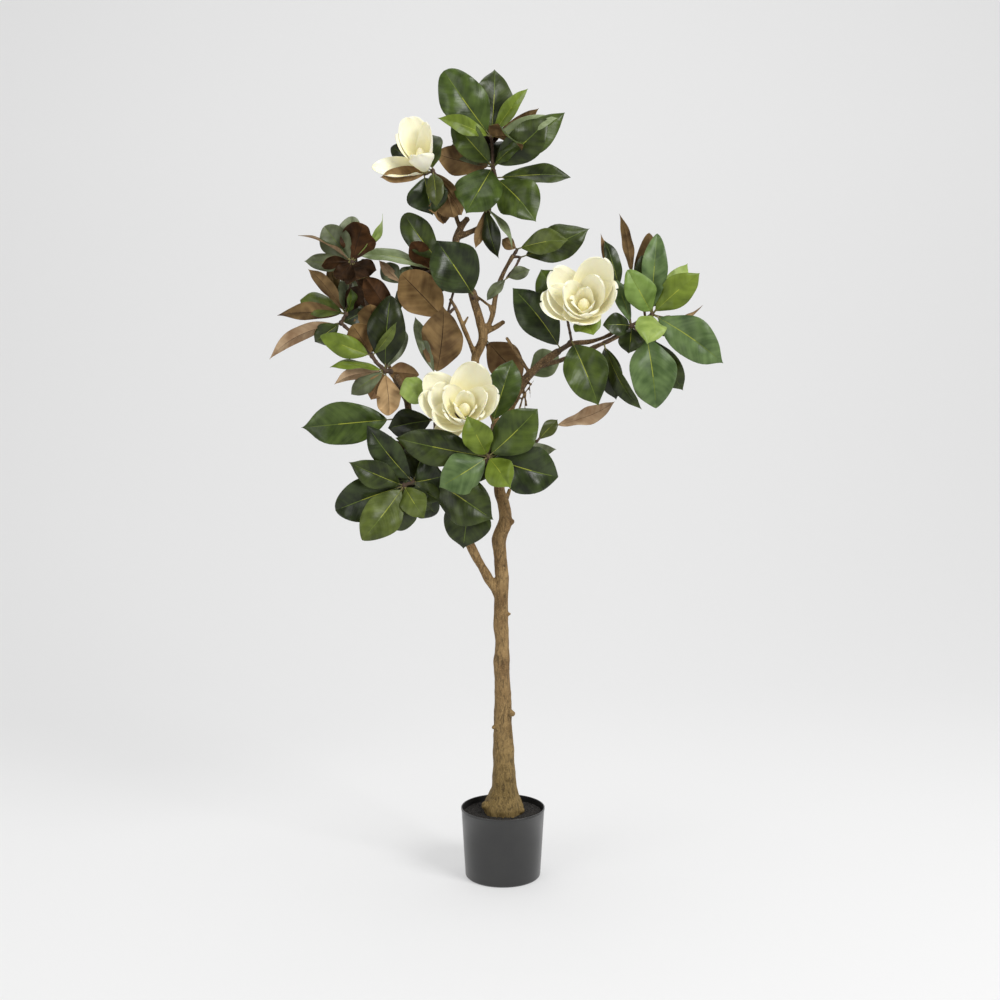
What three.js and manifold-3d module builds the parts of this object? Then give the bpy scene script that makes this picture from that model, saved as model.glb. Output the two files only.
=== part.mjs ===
// An artificial magnolia tree, 1.8 m tall, standing in a plain round plastic pot.
// Millimetres, +Z up, +X to the right and +Y to the back of the tree.
// The origin is the centre of the pot's flat underside.

import * as THREE from 'three';
import { mergeVertices } from 'three/addons/utils/BufferGeometryUtils.js';
import Module from 'manifold-3d';

const wasm = await Module();
wasm.setup();

// ---------------------------------------------------------------- driving dimensions

const GAP = 0.3;              // clearance between neighbouring pieces
const SOIL = 148;             // top of the pot's filling, where the trunk is cut flat

const POT = {
  rim: 95, foot: 85.5, height: 160, wall: 2.5, floor: 6, corner: 5, lip: 1.6, lipHeight: 7, sides: 28,
};

const LEAF = {
  stalk: 0.12,                // share of the length that is bare stalk
  stalkRadius: 1.5,
  keel: 1 / 80,               // depth of the midrib, as a share of the length
  fold: 0.14,                 // rise of the edges over the midrib, per half width
  bow: 0.06,                  // rise of the middle over a straight line, as a share of the length
  outline: [[0.34, 0.92], [0.69, 0.98]],  // shares of the length and of the full width
};

// A fork of at least so many leaves swells into a knot, in which their stalks begin, and a leaf
// touches something else only beyond its clear radius.
const FORK = { radius: 6.6, stalks: 5, crowd: 3, clear: 16 };

const PETAL = { thickness: 1.7, seat: 7, across: 2, along: 3 };
const CALYX = 11;             // radius of the bloom's seat

// A leafy shoot: leaves turn round its axis by the golden angle, each lifted towards its tip.
const SHOOT = {
  length: 104, spread: 36, width: 0.52, lift: 6, spreadLift: 38, turn: 137.5, jitter: 26, inset: 0.8,
};

// The tree is arranged for one side. From there the leaves behind hide within the leaves in
// front, so that the crown's gaps stay open.
const FRONT_EYE = { distance: 3200, height: 1200 };

const BARK = { color: 0x7d694b, roughness: 0.85, metalness: 0 };
const FOLIAGE = { color: 0x46603a, roughness: 0.45, metalness: 0 };

// ---------------------------------------------------------------- limbs, as [x, y, z, radius]

const TRUNK = {
  stations: [
    [3, 0, 130, 44], [1, 0, 160, 46], [2, 0, 182, 38], [4, 0, 205, 29], [2, 0, 250, 25],
    [0, 0, 315, 22.5], [0, 0, 400, 18.6], [-2, 0, 480, 18], [-3, 0, 550, 16], [-4, 0, 636, 16.5],
    [-3, 0, 690, 15], [-6, 0, 735, 15], [-9, 0, 773, 16.2], [6, -4, 816, 14.6], [2, -3, 850, 13.8],
    [-8, 0, 885, 11.4], [-4, 2, 930, 11], [-2, 4, 966, 10],
  ],
  sides: 11,
  steps: 24,
  ridges: { count: 5, depth: 0.18, top: 330 },
};

// Short spurs are fused to the limb that they stand on, as [from, to, thick, thin].
const SPURS = {
  trunk: [
    [[14, -6, 812], [30, -8, 814], 7, 3], [[10, -4, 604], [17, -8, 606], 6, 3],
    [[12, -10, 382], [24, -16, 378], 9, 5], [[-12, -8, 350], [-24, -12, 346], 8, 4],
    [[10, -18, 240], [16, -27, 232], 11, 7], [[-26, -12, 158], [-44, -20, 172], 14, 9],
    [[30, -14, 152], [46, -22, 160], 14, 8], [[4, 26, 152], [6, 46, 160], 15, 9],
    [[8, 6, 862], [15, 8, 884], 5, 4],
  ],
  bough_leader: [[[-42, 8, 1228], [2, 2, 1254], 6, 4.6], [[-56, 6, 1300], [-62, 2, 1322], 4, 3]],
  bough_mid_left: [[[-88, 0, 1246], [-76, -6, 1265], 3.6, 2.6]],
  bough_mid_right: [[[-24, 10, 1270], [-31, 10, 1292], 3.2, 2.8], [[-31, 10, 1290], [-60, 8, 1312], 2.8, 2]],
  bough_right: [
    [[60, 0, 1140], [8, -10, 1219], 4.4, 3.6], [[50, 0, 1122], [64, -10, 1116], 3.4, 2.4],
    [[44, 0, 1112], [52, 0, 1070], 3, 2.2],
  ],
};

// Each bough stands on one that is listed before it.
const BOUGHS = {
  bough_left: [
    [-8, 0, 640, 11], [-42, -10, 705, 10.5], [-73, -18, 763, 10], [-112, -26, 860, 9],
    [-160, -34, 957, 8.5], [-203, -40, 1052, 8],
  ],
  bough_left_upper: [[-203, -40, 1046, 7.4], [-213, -41, 1100, 7], [-232, -43, 1138, 6.4]],
  bough_leader: [
    [-2, 6, 958, 9.6], [-14, 8, 1030, 9.6], [-44, 9, 1110, 9.2], [-62, 10, 1168, 9],
    [-44, 10, 1219, 11], [-51, 9, 1258, 9.6], [-64, 5, 1300, 8.6], [-84, 2, 1370, 8],
    [-103, 0, 1428, 8], [-92, 0, 1458, 8], [-77, 0, 1478, 7],
  ],
  bough_right: [
    [2, 0, 955, 8], [6, -2, 1000, 8.4], [18, 0, 1067, 9], [44, 0, 1120, 10.4],
    [77, 0, 1157, 8.4], [122, -6, 1190, 7.6],
  ],
  bough_right_outer: [
    [118, -6, 1188, 6.2], [150, -9, 1206, 5.4], [191, -12, 1211, 4.8], [223, -16, 1221, 4.8],
    [262, -22, 1242, 4.6],
  ],
  bough_mid_right: [
    [-40, 10, 1228, 6], [-24, 10, 1266, 6], [-13, 10, 1324, 5.4], [4, 9, 1367, 4.8], [22, 8, 1398, 4.6],
  ],
  bough_mid_left: [
    [-64, 8, 1186, 5.6], [-78, 2, 1222, 5], [-90, 0, 1250, 4.8], [-104, -3, 1284, 4.4], [-116, -5, 1304, 4],
  ],
  bough_top: [
    [-97, 0, 1438, 6.4], [-68, 0, 1450, 6.2], [-44, 0, 1462, 5.8], [-34, 0, 1482, 5.4],
    [-28, 0, 1512, 5.2], [-25, 0, 1540, 5],
  ],
  bough_bloom: [[-96, -2, 1460, 4.6], [-102, -8, 1482, 4.4], [-108, -14, 1500, 4.2]],
  bough_front: [[-4, 0, 918, 6], [-14, -30, 926, 6], [-28, -72, 940, 5.6], [-34, -104, 950, 5.2]],
  bough_low_left: [[-158, -34, 950, 6], [-172, -58, 934, 5.6], [-184, -84, 920, 5.2]],
  bough_low_right: [[-2, 0, 930, 5], [30, -8, 956, 4.6], [58, -20, 978, 4]],
  bough_back_low: [[0, 2, 902, 6.4], [14, 60, 916, 6], [24, 158, 946, 5.2]],
  bough_back_left: [[-130, -30, 905, 6.4], [-160, 40, 902, 6], [-204, 136, 912, 5.2]],
  bough_back_mid: [[-32, 8, 1080, 6.4], [-36, 70, 1082, 6], [-46, 164, 1098, 5.2]],
  bough_back_high: [[-72, 4, 1330, 5.6], [-86, 60, 1328, 5.2], [-108, 146, 1344, 4.6]],
  bough_back_right: [
    [76, 2, 1156, 5.6], [150, 70, 1176, 5.2], [226, 130, 1206, 4.8], [296, 164, 1238, 4.6],
  ],
  bough_back_upper_left: [
    [-206, -38, 1072, 5.6], [-236, 30, 1120, 5.2], [-272, 96, 1188, 4.8], [-300, 134, 1248, 4.6],
  ],
};

// ---------------------------------------------------------------- masses of foliage
// Each mass has named forks, twigs between them, and sprays of leaves at the forks.
// A leaf is [right, toward the front, up, width, roll, bow], its tip measured from its fork.
// Roll 0 turns its upper face to the front; more roll turns it clockwise about the leaf.
// A shoot is [axis, seed, count], and its leaves follow the rule of SHOOT.

const MASSES = {
  leaves_top: {
    forks: {
      root: [-25, 0, 1536], mid: [-16, -2, 1564], low: [-22, 0, 1588], high: [-26, 0, 1651],
      back: [-40, 80, 1640],
    },
    twigs: [
      ['root', 'mid', 4.4, 4.2], ['mid', 'low', 4.2, 4], ['low', 'high', 4, 3.2], ['low', 'back', 3, 2.6],
    ],
    leaves: {
      high: [
        [-104, 24, 142, 104, 0], [9, -20, 150, 84, 8], [76, 15, 103, 38, -20], [-108, 50, 36, 40, 15],
        [56, 100, -22, 88, -98], [142, 26, 40, 40, -20], [112, 4, 74, 40, 170],
      ],
      low: [
        [-90, 15, 98, 66, -10], [-124, 10, 26, 64, 180], [-57, 60, -102, 106, 10],
        [157, 8, 113, 66, 15], [118, 34, 94, 70, 20], [-92, -40, 62, 58, 0],
      ],
      mid: [[86, 48, -94, 104, -10], [160, 26, 8, 52, -45, 0.14]],
    },
    shoots: { back: [[-0.1, 1, 0.25], 11, 7] },
  },
  leaves_bloom: {
    forks: {
      root: [-109, -15, 1500], low: [-123, -20, 1536], high: [-151, -30, 1575], side: [-170, -25, 1568],
    },
    twigs: [['root', 'low', 4, 3.6], ['low', 'high', 3.6, 3.4], ['high', 'side', 3, 2.6]],
    leaves: {
      low: [[-10, 24, -76, 52, 140], [18, 36, -66, 58, 180], [36, 34, -57, 40, 205]],
      high: [
        [-108, -22, -24, 48, 60], [-20, -35, 92, 54, -20], [-96, -35, 58, 48, 0], [8, 40, -76, 40, 0],
        [50, 0, -62, 36, 40],
      ],
      side: [[18, 12, -86, 90, 0]],
    },
    bloom: {
      at: [-168, -36, 1576],
      axis: [-0.2, -0.5, 0.85],
      bud: [15, 48],
      petals: [
        [350, 2, 112, 92, 36], [64, -2, 96, 84, 34], [254, 62, 108, 62, 30, -40], [180, 8, 56, 84, 28],
      ],
    },
  },
  leaves_left_high: {
    forks: {
      root: [-240, -44, 1146], n3: [-256, -45, 1147], n3b: [-284, -50, 1180], n3c: [-241, -40, 1257],
      n1b: [-351, -40, 1251], n1: [-340, -40, 1270], n2: [-326, -40, 1381],
    },
    twigs: [
      ['root', 'n3', 5.4, 5], ['n3', 'n3b', 4.4, 4.2], ['n3b', 'n1b', 4, 3.6], ['n1b', 'n1', 3.6, 3.4],
      ['n1', 'n2', 3.2, 2.8], ['n3', 'n3c', 3.4, 2.8],
    ],
    leaves: {
      n1: [
        [-146, 22, 0, 44, 145, -0.05], [-104, -25, 34, 56, 20], [-74, 36, 98, 34, 160],
        [-38, -10, 118, 30, 200], [6, -28, 84, 56, 30], [34, 16, 62, 42, 180], [16, 20, 52, 38, 60],
      ],
      n1b: [[-158, 5, -70, 40, 140, 0.1], [-62, -16, -42, 46, 0]],
      n2: [
        [-4, -28, 102, 58, 0], [-60, -4, 78, 66, 0], [28, 34, 82, 78, 180], [75, -34, 99, 40, 75],
        [-106, 50, 58, 40, 100], [-58, -40, 28, 42, 180], [-102, 10, 2, 40, 0], [-64, 56, -8, 32, 150],
        [15, 60, -48, 56, 180], [54, 6, -18, 40, 170],
      ],
      n3: [
        [-116, 24, 16, 34, 55], [-110, 30, -22, 34, 145], [-76, -8, -50, 46, 20], [12, 46, -96, 48, 180],
        [14, 14, 162, 82, 5], [72, -14, -8, 46, 180], [30, -70, 90, 42, 30],
      ],
      n3b: [[-106, 36, 42, 50, 0], [56, 36, 68, 24, 20], [-2, -6, 110, 84, 180]],
      n3c: [[16, -12, 68, 28, 50], [-58, 10, 94, 54, 180]],
    },
  },
  leaves_mid_high: {
    forks: {
      root: [-66, -4, 1305], ml: [-63, -14, 1308], m1: [-137, -10, 1383], mj: [-155, 0, 1366],
      mk: [-216, -10, 1336],
    },
    twigs: [['root', 'ml', 4, 3.6], ['ml', 'm1', 3.4, 3], ['m1', 'mj', 3, 2.6], ['mj', 'mk', 2.6, 2.4]],
    leaves: {
      ml: [[-78, 42, 116, 112, 0]],
      m1: [[-78, 5, 104, 66, 0]],
      mj: [[-162, 10, 34, 46, 45, 0.1]],
      mk: [[-54, 14, 50, 22, 190]],
    },
  },
  leaves_mid_low: {
    forks: { root: [-104, -3, 1286], m3: [-127, -15, 1260] },
    twigs: [['root', 'm3', 3.6, 3]],
    leaves: { m3: [[-92, 62, 96, 92, 180]] },
  },
  leaves_top_low: {
    forks: { root: [-34, 0, 1490], t: [-38, -18, 1500] },
    twigs: [['root', 't', 3.4, 3]],
    leaves: { t: [[24, 24, -110, 44, 60], [64, 6, -84, 26, -55]] },
  },
  leaves_mid_right: {
    forks: { root: [22, 8, 1396], e1: [31, 5, 1412], e3: [38, 4, 1394], e2: [8, -14, 1348] },
    twigs: [['root', 'e1', 4, 3.4], ['root', 'e3', 3.4, 3], ['e3', 'e2', 2.8, 2.4]],
    leaves: {
      e1: [[108, 40, 18, 56, -15], [-30, 15, 34, 24, 180]],
      e3: [[153, -18, 64, 80, -15, 0.1]],
      e2: [[50, 10, 18, 30, 0], [-44, 15, -46, 26, 20]],
    },
  },
  leaves_right_inner: {
    forks: {
      root: [120, -6, 1190], p1: [127, -16, 1193], p2: [149, -26, 1214], p3: [140, -24, 1262],
      fc: [174, -30, 1271], pb: [176, 60, 1290],
    },
    twigs: [
      ['root', 'p1', 4.4, 4], ['p1', 'p2', 3.6, 3.2], ['p2', 'p3', 3, 2.8], ['p3', 'fc', 2.8, 2.6],
      ['fc', 'pb', 2.8, 2.4],
    ],
    leaves: {
      p1: [[-104, 30, 132, 84, 5]],
      p2: [[57, 40, -138, 98, 0]],
      p3: [[-58, -18, 108, 76, 0]],
      fc: [[18, 60, -44, 66, 0]],
    },
    shoots: { pb: [[0.05, 1, 0.1], 23, 7] },
    bloom: {
      at: [175, -40, 1276],
      axis: [-0.06, -0.86, 0.5],
      bud: [18, 54],
      petals: [
        [38, 14, 118, 120, 52], [318, 22, 104, 104, 52], [94, 12, 96, 100, 48], [196, 14, 68, 110, 46],
      ],
    },
  },
  leaves_right: {
    forks: {
      root: [260, -21, 1240], q: [279, -25, 1245], q2: [219, -34, 1208], r: [324, -30, 1270],
      v: [311, -30, 1229], s: [254, -25, 1322], s2: [280, -25, 1350],
    },
    twigs: [
      ['root', 'q', 4.2, 4], ['q', 'r', 3.8, 3.4], ['q', 'v', 3.2, 2.8], ['q', 's', 3, 2.6],
      ['s', 's2', 2.4, 2.2], ['q', 'q2', 2.8, 2.6],
    ],
    leaves: {
      q: [[-60, 30, 2, 52, 10], [-20, 30, -36, 46, 0], [-42, 10, 108, 38, 30]],
      q2: [[76, 24, -146, 46, 35], [44, -16, -126, 52, 10]],
      r: [
        [-8, -24, 172, 66, 180], [-22, -10, 128, 54, 0], [9, 12, 172, 56, 0], [-56, 44, 90, 66, 0],
        [80, -14, 112, 46, 0], [97, 34, 86, 66, 0], [112, -16, 14, 30, 110, 0.12], [-16, 76, -60, 66, 0],
        [150, 38, -104, 94, 0],
      ],
      v: [[22, 28, -160, 104, 0], [87, -28, -126, 58, 0]],
      s: [[-36, 0, 118, 42, 20]],
      s2: [[-24, 0, 136, 26, 150]],
    },
  },
  leaves_low_left: {
    forks: {
      root: [-184, -84, 920], lb: [-193, -110, 911], ll: [-212, -120, 904], lc: [-157, -100, 919],
      lw: [-235, -66, 1044], l2: [-148, -60, 1042],
    },
    twigs: [
      ['root', 'lb', 4.6, 4.2], ['lb', 'll', 4, 3.6], ['lb', 'lc', 3.4, 3], ['lc', 'l2', 3, 2.6],
      ['l2', 'lw', 2.6, 2.4],
    ],
    leaves: {
      lw: [[-200, 20, -18, 96, 0]],
      l2: [[-102, 5, -18, 66, 0]],
      lb: [[-86, 44, 126, 64, 0], [84, 10, 8, 66, 10], [58, 18, -38, 46, 0]],
      ll: [
        [-110, 46, 52, 60, 0], [-148, 4, -54, 90, 0], [-84, 60, -108, 84, 0], [44, 50, -62, 58, 0],
        [0, -15, -100, 78, 20], [60, 0, -52, 46, 0],
      ],
      lc: [[134, 50, -84, 96, 0]],
    },
  },
  leaves_front: {
    forks: {
      root: [-34, -104, 950], cf: [-32, -130, 967], c7: [-66, -120, 899], c11: [-24, -60, 1031],
      fb: [-75, -108, 1024], fs: [-84, -70, 1036], fe: [-85, -84, 1052], c12: [-158, -76, 1110],
      m4: [-145, -60, 1135],
    },
    twigs: [
      ['root', 'cf', 4.8, 4.4], ['cf', 'c7', 3, 2.6], ['cf', 'c11', 3.2, 2.8], ['cf', 'fb', 3.8, 3.4],
      ['fb', 'fs', 3.2, 3.2], ['fs', 'fe', 3.2, 3.2], ['fb', 'c12', 3, 2.6], ['c12', 'm4', 2.6, 2.6],
    ],
    leaves: {
      cf: [
        [-42, 46, 86, 64, 0], [104, 26, 102, 92, 0], [46, 66, -58, 66, 0], [-100, 44, -60, 88, 0],
        [153, -24, -47, 106, 0], [153, -50, 12, 34, 0], [-196, 8, 40, 78, 0],
      ],
      c7: [[-22, -6, -126, 102, 0]],
      c11: [[45, -15, 142, 76, 0]],
      c12: [[-62, 20, -8, 66, 20]],
      m4: [[18, 12, 150, 92, 180]],
    },
    bloom: {
      at: [-85, -84, 1052],
      axis: [0.1, -0.84, 0.53],
      bud: [18, 60],
      petals: [
        [6, 16, 112, 118, 52], [74, 10, 98, 100, 48], [298, 36, 106, 108, 52], [222, 28, 88, 100, 46],
        [208, 60, 92, 76, 30],
      ],
    },
  },
  leaves_low_right: {
    forks: { root: [58, -20, 978], d1: [75, -30, 994], d2: [108, -20, 1026] },
    twigs: [['root', 'd1', 3.6, 3.2], ['d1', 'd2', 2.8, 2.4]],
    leaves: { d1: [[44, -15, 44, 38, 0]], d2: [[138, 10, 42, 34, 150, 0.1]] },
  },
  leaves_behind_mid: {
    forks: {
      root: [-46, 164, 1098], a: [-64, 216, 1096], b: [-14, 150, 1116], h: [-38, 34, 1216],
      g: [55, 30, 1135],
    },
    twigs: [['root', 'a', 4.4, 4], ['root', 'b', 3.4, 3], ['b', 'h', 3, 2.6], ['b', 'g', 3, 2.6]],
    leaves: { h: [[80, -10, -84, 80, 180]], g: [[72, -20, 52, 62, 0]] },
    shoots: { a: [[-0.3, 1, 0.1], 37, 7], b: [[0.5, 0.8, 0.3], 41, 5] },
  },
  leaves_behind_low: {
    forks: { root: [24, 158, 946], a: [2, 214, 994], b: [66, 214, 938] },
    twigs: [['root', 'a', 4, 3.6], ['root', 'b', 3.4, 3]],
    shoots: { a: [[-0.1, 1, 0.3], 17, 7], b: [[0.3, 1, -0.2], 59, 6] },
  },
  leaves_behind_left: {
    forks: { root: [-204, 136, 912], a: [-262, 180, 884], b: [-222, 214, 984] },
    twigs: [['root', 'a', 4, 3.6], ['root', 'b', 3.4, 3]],
    shoots: { a: [[-0.3, 1, -0.2], 61, 7], b: [[0, 1, 0.3], 67, 5] },
  },
  leaves_behind_high: {
    forks: { root: [-108, 146, 1344], a: [-118, 200, 1376], b: [-186, 170, 1312], c: [-136, 130, 1226] },
    twigs: [['root', 'a', 3.6, 3.2], ['root', 'b', 3.2, 2.8], ['root', 'c', 3, 2.6]],
    shoots: { a: [[0.1, 1, 0.3], 71, 6], b: [[-0.2, 1, 0], 73, 6], c: [[0, 1, -0.3], 79, 6] },
  },
  leaves_behind_right: {
    forks: { root: [296, 164, 1238], a: [338, 210, 1236], b: [326, 180, 1326], c: [414, 160, 1222] },
    twigs: [['root', 'a', 3.8, 3.4], ['a', 'b', 3.2, 2.8], ['a', 'c', 3.2, 2.8]],
    shoots: { a: [[0, 1, -0.2], 83, 5], b: [[0, 1, 0.3], 89, 6], c: [[0.3, 1, 0], 97, 5] },
  },
  leaves_behind_upper_left: {
    forks: { root: [-300, 134, 1248], a: [-286, 186, 1238], b: [-338, 156, 1396] },
    twigs: [['root', 'a', 3.8, 3.4], ['root', 'b', 3.4, 2.8]],
    shoots: { a: [[0.1, 1, 0], 101, 7], b: [[-0.1, 1, 0.2], 103, 6] },
  },
};

// ---------------------------------------------------------------- solids

const vector = ([x, y, z]) => new THREE.Vector3(x, y, z);

// A closed geometry through a row of rings; a ring of one point makes a pointed end.
function loft(rings) {
  const positions = [];
  const faces = [];
  const starts = rings.map((ring) => {
    const start = positions.length / 3;
    ring.forEach((point) => positions.push(point.x, point.y, point.z));
    return start;
  });
  for (let i = 0; i + 1 < rings.length; i += 1) {
    const [low, high] = [rings[i].length, rings[i + 1].length];
    const count = Math.max(low, high);
    for (let j = 0; j < count; j += 1) {
      const k = (j + 1) % count;
      const [a, b] = [starts[i] + (j % low), starts[i] + (k % low)];
      const [c, d] = [starts[i + 1] + (k % high), starts[i + 1] + (j % high)];
      if (low > 1) faces.push(a, b, c);
      if (high > 1) faces.push(a, c, d);
    }
  }
  const last = rings.length - 1;
  for (let j = 1; j + 1 < rings[0].length; j += 1) {
    faces.push(starts[0], starts[0] + j + 1, starts[0] + j);
  }
  for (let j = 1; j + 1 < rings[last].length; j += 1) {
    faces.push(starts[last], starts[last] + j, starts[last] + j + 1);
  }
  const geometry = new THREE.BufferGeometry();
  geometry.setAttribute('position', new THREE.Float32BufferAttribute(positions, 3));
  geometry.setIndex(faces);
  return geometry;
}

// A thin closed sheet between two grids of points, both split along the same diagonals.
function sheet(upper, lower) {
  const [rows, columns] = [upper.length, upper[0].length];
  const under = rows * columns;
  const faces = [];
  for (let i = 0; i + 1 < rows; i += 1) {
    for (let j = 0; j + 1 < columns; j += 1) {
      const a = i * columns + j;
      const [b, c, d] = [a + 1, a + columns + 1, a + columns];
      faces.push(a, b, c, a, c, d);
      faces.push(under + a, under + c, under + b, under + a, under + d, under + c);
    }
  }
  const rim = [];
  for (let j = 0; j + 1 < columns; j += 1) rim.push(j);
  for (let i = 0; i + 1 < rows; i += 1) rim.push(i * columns + columns - 1);
  for (let j = columns - 1; j > 0; j -= 1) rim.push((rows - 1) * columns + j);
  for (let i = rows - 1; i > 0; i -= 1) rim.push(i * columns);
  rim.forEach((p, k) => {
    const q = rim[(k + 1) % rim.length];
    faces.push(q, p, under + p, q, under + p, under + q);
  });
  const positions = [...upper.flat(), ...lower.flat()].flatMap(({ x, y, z }) => [x, y, z]);
  const geometry = new THREE.BufferGeometry();
  geometry.setAttribute('position', new THREE.Float32BufferAttribute(positions, 3));
  geometry.setIndex(faces);
  return geometry;
}

function toSolid(geometry) {
  geometry.deleteAttribute('normal');
  geometry.deleteAttribute('uv');
  const merged = mergeVertices(geometry, 1e-4);
  const mesh = new wasm.Mesh({
    numProp: 3,
    vertProperties: Float32Array.from(merged.attributes.position.array),
    triVerts: Uint32Array.from(merged.index.array),
  });
  return new wasm.Manifold(mesh);
}

const union = (solids) => solids.reduce((whole, solid) => whole.add(solid));

// The largest connected piece, without sealed hollows or loose scraps.
function mainPiece(solid) {
  return solid.decompose().reduce((best, piece) => (piece.volume() > best.volume() ? piece : best));
}

function toMesh(name, solid, look) {
  const { vertProperties, triVerts } = solid.getMesh();
  const geometry = new THREE.BufferGeometry();
  geometry.setAttribute('position', new THREE.Float32BufferAttribute(vertProperties, 3));
  geometry.setIndex(Array.from(triVerts));
  geometry.computeVertexNormals();
  const mesh = new THREE.Mesh(geometry, new THREE.MeshStandardMaterial(look));
  mesh.name = name;
  return mesh;
}

// ---------------------------------------------------------------- limbs and twigs

// A tapering limb through its stations; swell widens and lengthens it all round.
function limbSolid({ stations, sides = 6, steps = (stations.length - 1) * 2, ridges }, swell = 0) {
  const curve = new THREE.CatmullRomCurve3(stations.map(vector));
  const rings = [];
  const upright = Math.abs(curve.getTangent(0).z) > 0.7;
  let across = upright ? new THREE.Vector3(1, 0, 0) : new THREE.Vector3(0, 0, 1);
  for (let i = 0; i <= steps; i += 1) {
    const t = i / steps;
    const at = t * (stations.length - 1);
    const k = Math.min(Math.floor(at), stations.length - 2);
    const radius = THREE.MathUtils.lerp(stations[k][3], stations[k + 1][3], at - k) + swell;
    const tangent = curve.getTangent(t);
    const beyond = Math.sign(i - steps / 2) * (i === 0 || i === steps ? swell : 0);
    const centre = curve.getPoint(t).addScaledVector(tangent, beyond);
    across = across.clone().addScaledVector(tangent, -across.dot(tangent)).normalize();
    const beside = new THREE.Vector3().crossVectors(tangent, across);
    const relief = ridges ? ridges.depth * Math.max(0, 1 - centre.z / ridges.top) : 0;
    const ring = [];
    for (let j = 0; j < sides; j += 1) {
      const angle = (2 * Math.PI * j) / sides;
      const reach = radius * (1 + (relief ? relief * Math.sin(angle * ridges.count) : 0));
      ring.push(centre.clone()
        .addScaledVector(across, Math.cos(angle) * reach)
        .addScaledVector(beside, Math.sin(angle) * reach));
    }
    rings.push(ring);
  }
  return toSolid(loft(rings));
}

// A limb together with the spurs that stand on it.
function boughSolid(name, limb, swell = 0) {
  const spurs = (SPURS[name] ?? []).map(([from, to, thick, thin]) => limbSolid({
    stations: [[...from, thick], [...to, thin]], sides: 5, steps: 1,
  }, swell));
  return union([limbSolid(limb, swell), ...spurs]);
}

// ---------------------------------------------------------------- leaves and petals

// Axis and upper normal of a leaf whose tip lies at [right, toward the front, up] from its fork.
function rolledFrame([right, toward, up], roll) {
  const reach = new THREE.Vector3(right, -toward, up);
  const axis = reach.clone().normalize();
  const lean = Math.atan2(toward, Math.hypot(right, up));
  const flat = new THREE.Vector3(right, 0, up).normalize();
  const front = new THREE.Vector3(0, -Math.cos(lean), 0).addScaledVector(flat, -Math.sin(lean));
  const beside = new THREE.Vector3().crossVectors(axis, front);
  const turn = THREE.MathUtils.degToRad(roll);
  const normal = front.multiplyScalar(Math.cos(turn)).addScaledVector(beside, Math.sin(turn));
  return { axis, normal, length: reach.length() };
}

// A keeled blade, flat above, on a bare three-sided stalk; start is where the stalk begins.
function leafSolid({ fork, axis, normal, length, width, bow = LEAF.bow, start }) {
  const side = new THREE.Vector3().crossVectors(axis, normal);
  const ring = (q, half, rise, keel) => {
    const at = fork.clone()
      .addScaledVector(axis, length * q)
      .addScaledVector(normal, 4 * bow * length * q * (1 - q));
    return [
      at.clone().addScaledVector(side, half).addScaledVector(normal, rise),
      at.clone().addScaledVector(normal, -keel),
      at.clone().addScaledVector(side, -half).addScaledVector(normal, rise),
    ];
  };
  const stalk = (q) => ring(q, LEAF.stalkRadius, LEAF.stalkRadius / 2, LEAF.stalkRadius);
  return toSolid(loft([
    stalk(start / length),
    stalk(LEAF.stalk),
    ...LEAF.outline.map(([q, share]) => ring(
      q, (share * width) / 2, (width * LEAF.fold) / 4, length * LEAF.keel,
    )),
    [fork.clone().addScaledVector(axis, length)],
  ]));
}

// A petal is a patch of a round cup: [turn about the bloom, tilt outwards, length, width, cup radius],
// and where it is flung aside a roll about its own length.
function petalSolid(base, { axis, right, up }, [turn, tilt, length, width, cup, roll = 0]) {
  const [around, lean, twist] = [turn, tilt, roll].map(THREE.MathUtils.degToRad);
  const out = up.clone().multiplyScalar(Math.cos(around)).addScaledVector(right, Math.sin(around));
  const side = new THREE.Vector3().crossVectors(axis, out);
  const along = axis.clone().applyAxisAngle(side, lean);
  const outward = out.clone().applyAxisAngle(side, lean).applyAxisAngle(along, twist);
  const beside = side.applyAxisAngle(along, twist);
  const point = (u, v, lift) => {
    const radius = PETAL.seat + (cup - PETAL.seat) * Math.sin(Math.PI * 0.62 * v) + lift;
    const half = (width / 2) * Math.sin(Math.PI * (0.05 + 0.83 * v)) ** 0.75;
    const swing = (u * half) / Math.max(radius, cup * 0.6);
    return base.clone()
      .addScaledVector(outward, radius * Math.cos(swing))
      .addScaledVector(along, length * v)
      .addScaledVector(beside, radius * Math.sin(swing));
  };
  const grid = (lift) => Array.from({ length: PETAL.along + 1 }, (_, i) => Array.from(
    { length: PETAL.across + 1 },
    (__, j) => point((2 * j) / PETAL.across - 1, i / PETAL.along, lift),
  ));
  return toSolid(sheet(grid(PETAL.thickness / 2), grid(-PETAL.thickness / 2)));
}

// Outer petals round a closed bud, on a small seat.
function bloomSolids({ at, axis, bud: [girth, tall], petals }) {
  const base = vector(at);
  const out = vector(axis).normalize();
  const right = new THREE.Vector3().crossVectors(new THREE.Vector3(0, 1, 0), out).normalize();
  const up = new THREE.Vector3().crossVectors(out, right);
  const profile = [[0, 0], [0.8, 0.25], [1, 0.55], [0.6, 0.88], [0, 1]]
    .map(([across, along]) => new THREE.Vector2(across * girth, along * tall));
  const stand = new THREE.Quaternion().setFromUnitVectors(new THREE.Vector3(0, 1, 0), out);
  const bud = new THREE.LatheGeometry(profile, 6).applyQuaternion(stand).translate(...at);
  const seat = new THREE.IcosahedronGeometry(CALYX, 0).translate(...at);
  const frame = { axis: out, right, up };
  return [toSolid(seat), toSolid(bud), ...petals.map((petal) => petalSolid(base, frame, petal))];
}

// ---------------------------------------------------------------- masses

function randomFrom(seed) {
  let state = seed;
  return () => {
    state = (state * 16807) % 2147483647;
    return state / 2147483647;
  };
}

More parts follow.
